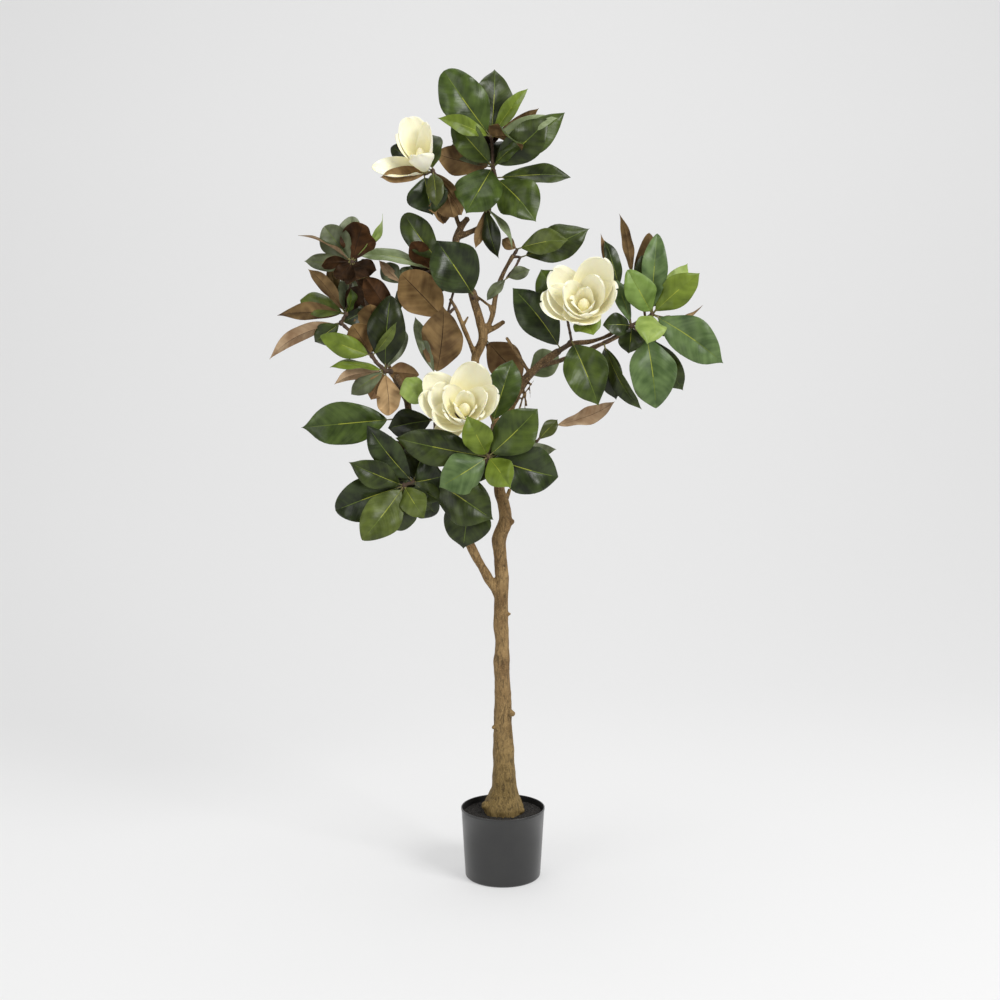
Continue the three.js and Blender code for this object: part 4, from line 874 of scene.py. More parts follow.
# A leaf is (right, toward the front, up, width, roll, tone, bow, end), its tip measured from its fork.
# An end of half is round, one of one is pointed; without it the seed decides.
# Roll 0 turns its upper face to the front. A shoot is (axis, seed, leaves at its end).
# A twig is (from, to, radius where it starts, radius where it ends).
masses = {
    "leaves_top": {
        "forks": {
            "root": (-25, 0, 1536), "mid": (-16, -2, 1564), "low": (-22, 0, 1588), "high": (-26, 0, 1651),
            "back": (-40, 80, 1640),
        },
        "twigs": (
            ("root", "mid", 4.4, 4.2), ("mid", "low", 4.2, 4), ("low", "high", 4, 3.2),
            ("low", "back", 3, 2.6),
        ),
        "leaves": {
            "high": (
                (-101, 24, 136, 98, 0, "glossy", 0.06, 0.5), (9, -20, 150, 84, 8, "dark"),
                (76, 15, 103, 38, -20, "young"), (-108, 50, 36, 40, 15, "young"),
                (56, 100, -22, 88, -98, "dark"), (142, 26, 40, 40, -20, "light"),
                (104, 4, 58, 30, 170, "brown"),
            ),
            "low": (
                (-90, 15, 98, 66, -10, "green"), (-124, 10, 26, 64, 180, "brown"),
                (-57, 60, -102, 106, 10, "glossy", 0.06, 0.86), (157, 8, 113, 66, 15, "green"),
                (118, 34, 94, 78, 15, "dark"), (63, 50, 47, 30, -20, "green"),
                (24, -20, 60, 52, 0, "darkest"), (-92, -40, 62, 58, 0, "grey"),
            ),
            "mid": ((86, 48, -94, 95, -10, "green", 0.06, 0.88), (160, 26, 6, 52, -30, "dark", 0.02)),
        },
        "shoots": {"back": ((-0.1, 1, 0.25), 11, 7)},
    },
    "leaves_bloom": {
        "forks": {
            "root": (-109, -15, 1500), "low": (-123, -20, 1536), "high": (-151, -30, 1575),
            "side": (-170, -25, 1568),
        },
        "twigs": (("root", "low", 4, 3.6), ("low", "high", 3.6, 3.4), ("high", "side", 3, 2.6)),
        "leaves": {
            "low": (
                (-10, 24, -76, 52, 140, "tan"), (18, 36, -66, 58, 180, "brown"),
                (36, 34, -57, 40, 205, "tan"),
            ),
            "high": (
                (-112, 44, -20, 38, 188, "tan", 0.06, 0.95), (-6, -35, 86, 58, -10, "dark"),
                (-96, -35, 58, 48, 0, "darkest"), (8, 40, -76, 40, 0, "olive"),
                (50, 0, -62, 36, 220, "brown"),
            ),
            "side": ((18, 12, -86, 90, 0, "deep"),),
        },
        "bloom": {
            "at": (-168, -36, 1576), "axis": (-0.2, -0.5, 0.85), "bud": (15, 48),
            "petals": (
                (350, 2, 112, 92, 36), (64, -2, 96, 84, 34), (300, 6, 90, 64, 32),
                (256, 54, 108, 76, 32, -30),
                (180, 8, 56, 84, 28), (215, 4, 50, 60, 24),
            ),
        },
    },
    "leaves_left_high": {
        "forks": {
            "root": (-240, -44, 1146), "n3": (-256, -45, 1147), "n3b": (-284, -50, 1180),
            "n3c": (-241, -40, 1257), "n1b": (-351, -40, 1251), "n1": (-340, -40, 1270),
            "n2": (-326, -40, 1381),
        },
        "twigs": (
            ("root", "n3", 5.4, 5), ("n3", "n3b", 4.4, 4.2), ("n3b", "n1b", 4, 3.6), ("n1b", "n1", 3.6, 3.4),
            ("n1", "n2", 3.2, 2.8), ("n3", "n3c", 3.4, 2.8),
        ),
        "leaves": {
            "n1": (
                (-146, 22, 0, 44, 145, "brown", 0.08), (-104, -25, 34, 56, 20, "moss"),
                (-74, 36, 98, 34, 160, "brown"), (-38, -10, 118, 30, 200, "brown"),
                (6, -28, 84, 56, 30, "grey"), (34, 16, 62, 42, 180, "umber"), (16, 20, 52, 38, 60, "green"),
            ),
            "n1b": (
                (-158, 5, -70, 40, 140, "pink", 0.1), (-62, -16, -42, 46, 0, "dark"),
                (56, -20, 30, 50, 0, "darkest"),
            ),
            "n2": (
                (-4, -28, 102, 58, 0, "grey", 0.06, 0.55), (-60, -4, 78, 66, 0, "grey", 0.06, 0.6),
                (28, 34, 82, 78, 180, "russet", 0.06, 0.5),
                (75, -34, 99, 40, 75, "lime"), (-106, 50, 58, 40, 100, "pink"),
                (-58, -40, 28, 42, 180, "brown"), (-102, 10, 2, 40, 0, "grey"),
                (-64, 56, -8, 32, 150, "umber"), (15, 60, -48, 56, 180, "umber"),
                (54, 6, -18, 40, 170, "umber"), (-30, 40, -40, 40, 180, "umber"),
            ),
            "n3": (
                (-116, 24, 16, 34, 55, "young"), (-110, 30, -22, 34, 145, "pink"),
                (-76, -8, -50, 46, 20, "grey"), (12, 46, -96, 56, 180, "sand", 0.06, 0.6),
                (14, 14, 162, 82, 5, "darkest", 0.06, 0.66), (72, -14, -8, 46, 180, "tan"),
                (42, -70, 98, 36, 10, "grey"), (-30, 16, -62, 46, 180, "tan"),
            ),
            "n3b": (
                (-106, 36, 42, 50, 0, "young"), (56, 36, 68, 24, 20, "moss"),
                (-2, -6, 110, 84, 180, "orange", 0.06, 0.6), (-40, 24, 68, 64, 180, "orange", 0.06, 0.6),
            ),
            # the narrow grey leaf stands for the sheen on a large dark leaf here: a painted highlight
            "n3c": ((16, -12, 68, 28, 50, "grey"), (-58, 10, 94, 54, 180, "russet")),
        },
    },
    "leaves_mid_high": {
        "forks": {
            "root": (-66, -4, 1305), "ml": (-63, -14, 1308), "m1": (-137, -10, 1383), "mj": (-155, 0, 1366),
            "mk": (-216, -10, 1336),
        },
        "twigs": (
            ("root", "ml", 4, 3.6), ("ml", "m1", 3.4, 3), ("m1", "mj", 3, 2.6), ("mj", "mk", 2.6, 2.4),
        ),
        "leaves": {
            "ml": ((-78, 42, 116, 112, 0, "deep"),),
            "m1": ((-78, 5, 104, 66, 0, "dark", 0.06, 0.5),),
            "mj": ((-162, 10, 34, 46, 45, "light", 0.1), (-42, 44, 60, 46, 180, "russet", 0.06, 0.6)),
            "mk": (
                (-54, 14, 50, 22, 190, "pink"), (14, -6, 40, 36, 0, "grey"), (-52, -14, 42, 44, 0, "grey"),
            ),
        },
    },
    "leaves_mid_low": {
        "forks": {"root": (-104, -3, 1286), "m3": (-127, -15, 1260)},
        "twigs": (("root", "m3", 3.6, 3),),
        "leaves": {"m3": ((-92, 62, 96, 92, 180, "orange", 0.06, 0.6),)},
    },
    "leaves_top_low": {
        "forks": {"root": (-34, 0, 1490), "t": (-38, -18, 1500)},
        "twigs": (("root", "t", 3.4, 3),),
        "leaves": {
            "t": (
                (24, 24, -110, 44, 30, "darkest"), (64, 6, -84, 26, -55, "light"),
                (-22, 10, -90, 24, 180, "brown"),
            ),
        },
    },
    "leaves_mid_right": {
        "forks": {"root": (22, 8, 1396), "e1": (31, 5, 1412), "e3": (38, 4, 1394), "e2": (8, -14, 1348)},
        "twigs": (("root", "e1", 4, 3.4), ("root", "e3", 3.4, 3), ("e3", "e2", 2.8, 2.4)),
        "leaves": {
            "e1": ((108, 40, 18, 56, -15, "moss"), (-34, 15, 20, 28, 180, "brown")),
            "e3": ((153, -18, 67, 80, -12, "dark", -0.04, 0.95),),
            "e2": ((50, 10, 18, 30, 0, "grey"), (-44, 15, -46, 26, 20, "grey")),
        },
    },
    "leaves_right_inner": {
        "forks": {
            "root": (120, -6, 1190), "p1": (127, -16, 1193), "p2": (149, -26, 1214), "p3": (140, -24, 1262),
            "fc": (174, -30, 1271), "pb": (176, 60, 1290),
        },
        "twigs": (
            ("root", "p1", 4.4, 4), ("p1", "p2", 3.6, 3.2), ("p2", "p3", 3, 2.8), ("p3", "fc", 2.8, 2.6),
            ("fc", "pb", 2.8, 2.4),
        ),
        "leaves": {
            "p1": ((-104, 30, 132, 84, 5, "deep"),),
            "p2": ((57, 40, -138, 98, 0, "green", 0.06, 0.84),),
            "p3": ((-58, -18, 108, 76, 0, "green"),),
            "fc": ((18, 60, -44, 66, 0, "young"),),
        },
        "shoots": {"pb": ((0.05, 1, 0.1), 23, 7)},
        "bloom": {
            "at": (175, -40, 1276), "axis": (-0.06, -0.86, 0.5), "bud": (14, 44),
            "petals": (
                (38, 14, 118, 120, 52), (318, 22, 104, 104, 52), (272, 30, 96, 100, 50),
                (94, 12, 96, 100, 48),
                (196, 14, 68, 110, 46), (296, 2, 84, 88, 38), (60, 0, 90, 96, 42), (170, 6, 56, 84, 34),
                (250, 6, 66, 78, 34), (286, 22, 84, 104, 49), (232, 10, 62, 84, 37), (20, -5, 62, 56, 24),
                (140, -2, 50, 56, 24), (262, -4, 56, 54, 24),
            ),
        },
    },
    "leaves_right": {
        "forks": {
            "root": (260, -21, 1240), "q": (279, -25, 1245), "q2": (219, -34, 1208), "r": (324, -30, 1270),
            "v": (311, -30, 1229), "s": (254, -25, 1322), "s2": (280, -25, 1350),
        },
        "twigs": (
            ("root", "q", 4.2, 4), ("q", "r", 3.8, 3.4), ("q", "v", 3.2, 2.8), ("q", "s", 3, 2.6),
            ("s", "s2", 2.4, 2.2), ("q", "q2", 2.8, 2.6),
        ),
        "leaves": {
            "q": (
                (-60, 30, 2, 52, 10, "deep"), (-6, 10, -60, 56, 0, "dark"), (-42, 10, 108, 38, 30, "jade"),
            ),
            "q2": ((76, 24, -146, 42, 35, "dark"), (28, -10, -126, 54, 10, "umber")),
            "r": (
                (-8, -24, 172, 66, 180, "brown", 0.06, 0.6), (-22, -10, 128, 54, 0, "dark"),
                (9, 12, 172, 56, 0, "jade", 0.06, 0.66),
                (-56, 44, 90, 66, 0, "fresh", 0.06, 0.58), (80, -14, 112, 46, 0, "lime"),
                (97, 34, 86, 66, 0, "young"),
                (112, -16, 14, 30, 110, "tan", 0.12), (-16, 76, -60, 66, 0, "lime"),
                (150, 38, -104, 88, 0, "jade", 0.06, 0.86),
            ),
            "v": ((22, 28, -160, 104, 0, "jade"), (87, -28, -126, 58, 0, "green")),
            "s": ((-32, 0, 108, 38, 20, "deep"), (-44, -8, 120, 20, 190, "tan")),
            "s2": ((-24, 0, 136, 26, 150, "brown"),),
        },
    },
    "leaves_low_left": {
        "forks": {
            "root": (-184, -84, 920), "lb": (-193, -110, 911), "ll": (-212, -120, 904),
            "lc": (-157, -100, 919), "lw": (-235, -66, 1044), "l2": (-148, -60, 1042),
        },
        "twigs": (
            ("root", "lb", 4.6, 4.2), ("lb", "ll", 4, 3.6), ("lb", "lc", 3.4, 3), ("lc", "l2", 3, 2.6),
            ("l2", "lw", 2.6, 2.4),
        ),
        "leaves": {
            "lw": ((-200, 20, -18, 96, 0, "glossy"),),
            "l2": ((-102, 5, -18, 66, 0, "darkest"),),
            "lb": (
                (-92, 44, 120, 64, 0, "deep"), (66, 10, 14, 88, 10, "deep", 0.06, 0.6),
                (58, 18, -38, 46, 0, "dark"),
                (30, -24, 84, 80, 0, "darkest"),
            ),
            "ll": (
                (-110, 46, 52, 60, 0, "dark"), (-148, 4, -54, 90, 0, "deep", 0.06, 0.56),
                (-84, 60, -108, 84, 0, "moss"), (44, 50, -62, 58, 0, "moss"),
                (-18, -15, -100, 84, 10, "dark", 0.06, 0.6), (70, -24, -66, 66, 0, "deep", 0.06, 0.6),
                (60, 0, -52, 46, 0, "dark"),
                (24, -30, 44, 50, 0, "darkest"),
            ),
            "lc": ((134, 50, -84, 106, 0, "dark"), (-92, -30, -10, 64, 0, "darkest")),
        },
    },
    "leaves_front": {
        "forks": {
            "root": (-34, -104, 950), "cf": (-32, -130, 967), "c7": (-66, -120, 899), "c11": (-24, -60, 1031),
            "fb": (-75, -108, 1024), "fs": (-84, -70, 1036), "fe": (-85, -84, 1052), "c12": (-158, -76, 1110),
            "m4": (-145, -60, 1135),
        },
        "twigs": (
            ("root", "cf", 4.8, 4.4), ("cf", "c7", 3, 2.6), ("cf", "c11", 3.2, 2.8), ("cf", "fb", 3.8, 3.4),
            ("fb", "fs", 3.2, 3.2), ("fs", "fe", 3.2, 3.2), ("fb", "c12", 3, 2.6), ("c12", "m4", 2.6, 2.6),
        ),
        "leaves": {
            "cf": (
                (-42, 46, 86, 64, 0, "young"), (104, 26, 102, 92, 0, "green"),
                (46, 66, -58, 66, 0, "young", 0.06, 0.95),
                (-100, 44, -60, 88, 0, "jade"), (153, -24, -47, 106, 0, "deep"),
                (153, -50, 12, 34, 0, "grey"), (-196, 8, 40, 78, 0, "dark"),
            ),
            "c7": ((-20, -6, -133, 102, 0, "dark", 0.06, 0.9), (70, -40, 112, 70, 0, "darkest")),
            "c11": ((45, -15, 142, 76, 0, "glossy"),),
            "c12": ((-62, 20, -8, 66, 20, "lime"),),
            "m4": ((18, 12, 150, 92, 180, "brown"), (-48, -40, 132, 30, 0, "grey")),
        },
        "bloom": {
            "at": (-85, -84, 1052), "axis": (0.1, -0.84, 0.53), "bud": (14, 46),
            "petals": (
                (6, 16, 112, 118, 52), (74, 10, 98, 100, 48), (298, 36, 106, 108, 52), (266, 36, 98, 98, 50),
                (222, 28, 88, 100, 46), (208, 60, 92, 76, 30), (62, 0, 80, 84, 40),
                (282, 6, 78, 92, 40), (180, 4, 64, 92, 38), (130, 4, 60, 70, 38), (282, 24, 84, 104, 49),
                (232, 10, 62, 84, 37), (350, -5, 66, 56, 24),
                (112, -3, 52, 54, 24), (232, -2, 56, 56, 24),
            ),
        },
    },
    "leaves_low_right": {
        "forks": {"root": (58, -20, 978), "d1": (75, -30, 994), "d2": (108, -20, 1026)},
        "twigs": (("root", "d1", 3.6, 3.2), ("d1", "d2", 2.8, 2.4)),
        "leaves": {
            "d1": ((46, -15, 47, 32, 0, "olive", 0.06, 0.9),), "d2": ((138, 10, 50, 40, 150, "pink", 0.1),),
        },
    },
    "leaves_behind_mid": {
        "forks": {
            "root": (-46, 164, 1098), "a": (-64, 216, 1096), "b": (-14, 150, 1116), "h": (-38, 34, 1216),
            "g": (55, 30, 1135),
        },
        "twigs": (("root", "a", 4.4, 4), ("root", "b", 3.4, 3), ("b", "h", 3, 2.6), ("b", "g", 3, 2.6)),
        "leaves": {"h": ((80, -10, -84, 80, 180, "tan"),), "g": ((72, -20, 52, 62, 0, "light"),)},
        "shoots": {"a": ((-0.3, 1, 0.1), 37, 7), "b": ((0.5, 0.8, 0.3), 41, 5)},
    },
    "leaves_behind_low": {
        "forks": {"root": (24, 158, 946), "a": (2, 214, 994), "b": (66, 214, 938)},
        "twigs": (("root", "a", 4, 3.6), ("root", "b", 3.4, 3)),
        "shoots": {"a": ((-0.1, 1, 0.3), 17, 7), "b": ((0.3, 1, -0.2), 59, 6)},
    },
    "leaves_behind_left": {
        "forks": {"root": (-204, 136, 912), "a": (-262, 180, 884), "b": (-222, 214, 984)},
        "twigs": (("root", "a", 4, 3.6), ("root", "b", 3.4, 3)),
        "shoots": {"a": ((-0.3, 1, -0.2), 61, 7), "b": ((0, 1, 0.3), 67, 5)},
    },
    "leaves_behind_high": {
        "forks": {
            "root": (-108, 146, 1344), "a": (-118, 200, 1376), "b": (-186, 170, 1312), "c": (-136, 130, 1226),
        },
        "twigs": (("root", "a", 3.6, 3.2), ("root", "b", 3.2, 2.8), ("root", "c", 3, 2.6)),
        "shoots": {"a": ((0.1, 1, 0.3), 71, 6), "b": ((-0.2, 1, 0), 73, 6), "c": ((0, 1, -0.3), 79, 6)},
    },
    "leaves_behind_right": {
        "forks": {
            "root": (296, 164, 1238), "a": (338, 210, 1236), "b": (326, 180, 1326), "c": (414, 160, 1222),
        },
        "twigs": (("root", "a", 3.8, 3.4), ("a", "b", 3.2, 2.8), ("a", "c", 3.2, 2.8)),
        "shoots": {"a": ((0, 1, -0.2), 83, 5), "b": ((0, 1, 0.3), 89, 6), "c": ((0.3, 1, 0), 97, 5)},
    },
    "leaves_behind_upper_left": {
        "forks": {"root": (-300, 134, 1248), "a": (-286, 186, 1238), "b": (-338, 156, 1396)},
        "twigs": (("root", "a", 3.8, 3.4), ("root", "b", 3.4, 2.8)),
        "shoots": {"a": ((0.1, 1, 0), 101, 7), "b": ((-0.1, 1, 0.2), 103, 6)},
    },
}


# The leaves of a mass that were placed one by one, as their rows say.
def frontLeaves(mass):
    for key, spray in mass.get("leaves", {}).items():
        for right, toward, rise, width, roll, tone, *more in spray:
            axis, normal, length = rolledFrame(right, toward, rise, roll)
            yield {"fork": np.array(mass["forks"][key], float),
                   "start": 0 if len(spray) < crowd else forkStart,
                   "axis": axis, "normal": normal, "length": length, "width": width, "tone": tone,
                   "bow": more[0] if more else leaf["bow"], "end": more[1] if more[1:] else None}


screens = [[seen(p) for p in outlinePoints(spec, shoot["screen"])]
           for mass in masses.values() for spec in frontLeaves(mass)]


# A leaf behind stays hidden from the front: it is grown shorter, or left out where that isn't enough.
def hiddenLeaf(spec):
    for share in shoot["shorter"]:
        short = {**spec, "length": share * spec["length"], "width": share * spec["width"]}
        places = [seen(p) for p in outlinePoints(short)[1:]]
        if all(any(holds(outline, place) for outline in screens) for place in places):
            return short
    return None


twigForm = {
    "sides": 9, "steps": 19,
    "wander": 2.2, "straight": 60,     # mm that a twig strays; one shorter than 60 mm strays less
    "scar": 0.24, "scarPitch": 17,     # collars of old leaf scars, and mm between them
    "knot": (5.4, 1.2),                # radius and stretch of the knot at a crowded fork
    "bud": (3.4, 3.2), "budAt": 8,     # the same of the bud at a shoot's end, and mm past its fork
    "stem": (3.2, 2.6),                # radii of a shoot's stem
}


def addTwig(pile, start, end, thick, thin, seed):
    start, end = np.array(start, float), np.array(end, float)
    length = np.linalg.norm(end - start)
    direction = (end - start) / length
    across = unit(np.cross(direction, (0.31, 0.47, 0.83)))      # any direction that no twig runs in
    beside = np.cross(direction, across)
    chance = shuffled(seed)
    a, b = next(chance) * 6.28, next(chance) * 6.28
    t = np.linspace(0, 1, twigForm["steps"])
    swing = twigForm["wander"] * min(length / twigForm["straight"], 1) * np.sin(np.pi * t)
    centres = start + direction * (length * t)[:, None]
    centres = centres + across * (swing * np.sin(3 * t + a))[:, None]
    centres = centres + beside * (swing * np.cos(4 * t + b))[:, None]
    collars = np.clip(np.sin(2 * np.pi * length * t / twigForm["scarPitch"] + b), 0, 1) ** 6
    radii = (thick + (thin - thick) * t) * (1 + twigForm["scar"] * collars)
    addTube(pile, centres, radii, twigForm["sides"], woodSlot)


for index, (name, mass) in enumerate(masses.items()):
    part = name.removeprefix("leaves_")
    blades, twigs, petals = newPile(), newPile(), newPile()
    forks, leaves, shoots = mass["forks"], mass.get("leaves", {}), mass.get("shoots", {})
    for k, (start, end, thick, thin) in enumerate(mass["twigs"]):
        addTwig(twigs, forks[start], forks[end], thick, thin, seedFor("twig", index, k))
    for key in [k for k in leaves if len(leaves[k]) >= crowd] + list(shoots):
        addKnot(twigs, forks[key], up, *twigForm["knot"], woodSlot)
    for k, spec in enumerate(frontLeaves(mass)):
        addLeaf(blades, twigs, spec, seedFor("leaf", index, k))
    for key, (direction, seed, count) in shoots.items():
        fork, axle = np.array(forks[key], float), unit(direction)
        for k, spec in enumerate(shootLeaves(fork, direction, seed, count)):
            hidden = hiddenLeaf(spec)
            if hidden:
                addLeaf(blades, twigs, hidden, seedFor("shootLeaf", seed, k))
        addTwig(twigs, fork, fork - axle * shoot["step"] * shoot["whorls"], *twigForm["stem"], seed)
        addKnot(twigs, fork + axle * twigForm["budAt"], direction, *twigForm["bud"], budSlot)
    if "bloom" in mass:
        addBloom(petals, twigs, index=index, **mass["bloom"])
        bloomPiece = pileObject("blossom_" + part, petals, petalMaterials)
        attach(bloomPiece, "root")
        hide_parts(name)
    bladePiece = pileObject("blades_" + part, blades, [leafMaterials[m] for m in bladeMaterials])
    twigPiece = pileObject("twigs_" + part, twigs, twigMaterials)
    for piece in (bladePiece, twigPiece):
        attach(piece, "root")
        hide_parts(name)
print("foliage grown")


# Stations are (x, y, z, radius).
trunk = (
    (3, 0, 130, 44), (1, 0, 160, 46), (2, 0, 182, 38), (4, 0, 205, 29), (2, 0, 250, 25), (0, 0, 315, 22.5),
    (0, 0, 400, 18.6), (-2, 0, 480, 18), (-3, 0, 550, 16), (-4, 0, 636, 16.5), (-3, 0, 690, 15),
    (-6, 0, 735, 15), (-9, 0, 773, 16.2), (6, -4, 816, 14.6), (2, -3, 850, 13.8), (-8, 0, 885, 11.4),
    (-4, 2, 930, 11), (-2, 4, 966, 10),
)
spurs = (         # short stubs and burls: from, to, thick, thin
    ((14, -6, 812), (24, -8, 815), 9, 6), ((10, -4, 604), (17, -8, 606), 6, 3),
    ((12, -10, 382), (24, -16, 378), 9, 5), ((-12, -8, 350), (-24, -12, 346), 8, 4),
    ((10, -18, 240), (16, -27, 232), 11, 7), ((-26, -12, 158), (-44, -20, 172), 14, 9),
    ((30, -14, 152), (46, -22, 160), 14, 8), ((4, 26, 152), (6, 46, 160), 15, 9),
    ((8, 6, 862), (15, 8, 884), 5, 4),
    ((-42, 8, 1228), (2, 2, 1254), 6, 4.6), ((-56, 6, 1300), (-62, 2, 1322), 4, 3),
    ((-88, 0, 1246), (-76, -6, 1265), 3.6, 2.6), ((-24, 10, 1270), (-31, 10, 1292), 3.2, 2.8),
    ((-31, 10, 1290), (-60, 8, 1312), 2.8, 2), ((60, 0, 1140), (8, -10, 1219), 4.4, 3.6),
    ((50, 0, 1122), (64, -10, 1116), 3.4, 2.4), ((44, 0, 1112), (52, 0, 1070), 3, 2.2),
    ((35, -12, 1060), (46, -15, 1097), 2.6, 2.2), ((46, -15, 1096), (68, -11, 1126), 2.4, 2),
    ((50, -15, 1098), (48, -18, 1064), 2.2, 1.6), ((20, -9, 1060), (38, -13, 1090), 2.4, 2),
    ((58, -10, 1124), (60, -16, 1088), 2, 1.5), ((70, -6, 1146), (112, -12, 1176), 2.6, 2.2),
)
boughs = {
    "bough_left": (
        (-8, 0, 640, 11), (-42, -10, 705, 10.5), (-73, -18, 763, 10), (-112, -26, 860, 9),
        (-160, -34, 957, 8.5), (-203, -40, 1052, 8),
    ),
    "bough_left_upper": ((-203, -40, 1046, 7.4), (-213, -41, 1100, 7), (-232, -43, 1138, 6.4)),
    "bough_leader": (
        (-2, 6, 958, 9.6), (-14, 8, 1030, 9.6), (-44, 9, 1110, 9.2), (-62, 10, 1168, 9),
        (-44, 10, 1219, 11), (-51, 9, 1258, 9.6), (-64, 5, 1300, 8.6), (-84, 2, 1370, 8),
        (-103, 0, 1428, 8), (-92, 0, 1458, 8), (-77, 0, 1478, 7),
    ),
    "bough_right": (
        (2, 0, 955, 8), (6, -2, 1000, 8.4), (18, 0, 1067, 9), (44, 0, 1120, 10.4),
        (77, 0, 1157, 8.4), (122, -6, 1190, 7.6),
    ),
    "bough_right_outer": (
        (118, -6, 1188, 6.2), (150, -9, 1206, 5.4), (191, -12, 1211, 4.8), (223, -16, 1221, 4.8),
        (262, -22, 1242, 4.6),
    ),
    "bough_mid_right": (
        (-40, 10, 1228, 6), (-24, 10, 1266, 6), (-13, 10, 1324, 5.4), (4, 9, 1367, 4.8), (22, 8, 1398, 4.6),
    ),
    "bough_mid_left": (
        (-64, 8, 1186, 5.6), (-78, 2, 1222, 5), (-90, 0, 1250, 4.8), (-104, -3, 1284, 4.4),
        (-116, -5, 1304, 4),
    ),
    "bough_top": (
        (-97, 0, 1438, 6.4), (-68, 0, 1450, 6.2), (-44, 0, 1462, 5.8), (-34, 0, 1482, 5.4),
        (-28, 0, 1512, 5.2), (-25, 0, 1540, 5),
    ),
    "bough_bloom": ((-96, -2, 1460, 4.6), (-102, -8, 1482, 4.4), (-108, -14, 1500, 4.2)),
    "bough_front": ((-4, 0, 918, 6), (-14, -30, 926, 6), (-28, -72, 940, 5.6), (-34, -104, 950, 5.2)),
    "bough_low_left": ((-158, -34, 950, 6), (-172, -58, 934, 5.6), (-184, -84, 920, 5.2)),
    "bough_low_right": ((-2, 0, 930, 5), (30, -8, 956, 4.6), (58, -20, 978, 4)),
    "bough_back_low": ((0, 2, 902, 6.4), (14, 60, 916, 6), (24, 158, 946, 5.2)),
    "bough_back_left": ((-130, -30, 905, 6.4), (-160, 40, 902, 6), (-204, 136, 912, 5.2)),
    "bough_back_mid": ((-32, 8, 1080, 6.4), (-36, 70, 1082, 6), (-46, 164, 1098, 5.2)),
    "bough_back_high": ((-72, 4, 1330, 5.6), (-86, 60, 1328, 5.2), (-108, 146, 1344, 4.6)),
    "bough_back_right": (
        (76, 2, 1156, 5.6), (150, 70, 1176, 5.2), (226, 130, 1206, 4.8), (296, 164, 1238, 4.6),
    ),
    "bough_back_upper_left": (
        (-206, -38, 1072, 5.6), (-236, 30, 1120, 5.2), (-272, 96, 1188, 4.8), (-300, 134, 1248, 4.6),
    ),
}


# A centripetal spline through the stations, as in the part's source.
def limbCentres(stations, steps):
    points = [np.array(s[:3], float) for s in stations]
    points = [2 * points[0] - points[1], *points, 2 * points[-1] - points[-2]]
    centres, radii = [], []
    spans = len(stations) - 1
    for i in range(steps + 1):
        place = i / steps * spans
        k = min(int(place), spans - 1)
        w = place - k
        p0, p1, p2, p3 = points[k:k + 4]
        d0, d1, d2 = [math.sqrt(np.linalg.norm(b - a)) for a, b in ((p0, p1), (p1, p2), (p2, p3))]
        t1 = ((p1 - p0) / d0 - (p2 - p0) / (d0 + d1) + (p2 - p1) / d1) * d1
        t2 = ((p2 - p1) / d1 - (p3 - p1) / (d1 + d2) + (p3 - p2) / d2) * d1
        bend = (3 * (p2 - p1) - 2 * t1 - t2) * w ** 2 + (2 * (p1 - p2) + t1 + t2) * w ** 3
        centres.append(p1 + t1 * w + bend)
        radii.append(stations[k][3] + (stations[k + 1][3] - stations[k][3]) * w)
    return centres, radii


bark = {
    "voxel": 2.0, "sides": 20, "perSpan": 6, "spurSides": 14, "spurSteps": 5,
    "lump": 24, "lumpDepth": 2.0, "lumpStretch": 0.6,              # mm; below 1 a form runs along the limb
    "furrow": 6.5, "furrowDepth": 0.7, "furrowStretch": 0.45,
    "swell": 60, "swellDepth": 1.6,
    "relief": (0.35, 0.8),       # share of the relief on the thinnest limbs, and what the trunk has more
    "trunkTop": 970, "trunkReach": 60, "stout": 20, "slim": 0.4,
    "ridgeTop": 330, "ridges": 5, "ridgeDepth": 2.1, "ridgeTurn": 0.6,      # root ridges round the foot
}
limbPile = newPile()
for stations in (trunk, *boughs.values()):
    centres, radii = limbCentres(stations, (len(stations) - 1) * bark["perSpan"])
    addTube(limbPile, centres, radii, bark["sides"], 0)
for start, end, thick, thin in spurs:
    steps = np.linspace(0, 1, bark["spurSteps"])[:, None]
    centres = np.array(start) + (np.array(end, float) - start) * steps
    addTube(limbPile, centres, thick + (thin - thick) * steps[:, 0], bark["spurSides"], 0)
rawLimbs = pileObject("limbs_raw", limbPile, [paintedBark])
fuse = rawLimbs.modifiers.new("fuse", "REMESH")
fuse.mode = "VOXEL"
fuse.voxel_size = bark["voxel"] * mm
fuse.adaptivity = 0.0
fused = settledMesh(rawLimbs)


# Depth of the bark's relief at a point, in mm.
def barkDepth(x, y, z):
    lump = noise.noise(Vector((x, y, z * bark["lumpStretch"])) / bark["lump"])
    furrow = noise.noise(Vector((x, y, z * bark["furrowStretch"])) / bark["furrow"] + Vector((9, 3, 5)))
    swell = noise.noise(Vector((x, y, z)) / bark["swell"] + Vector((3, 7, 1)))
    onTrunk = z < bark["trunkTop"] and math.hypot(x, y) < bark["trunkReach"]
    girth = min(math.hypot(x, y) / bark["stout"], 1) if onTrunk else bark["slim"]
    foot = max(0, 1 - z / bark["ridgeTop"])
    root = bark["ridgeDepth"] * foot * math.sin(bark["ridges"] * math.atan2(y, x) + bark["ridgeTurn"])
    relief = bark["lumpDepth"] * lump + bark["furrowDepth"] * furrow + bark["swellDepth"] * swell
    least, more = bark["relief"]
    return relief * (least + more * girth) + root * girth


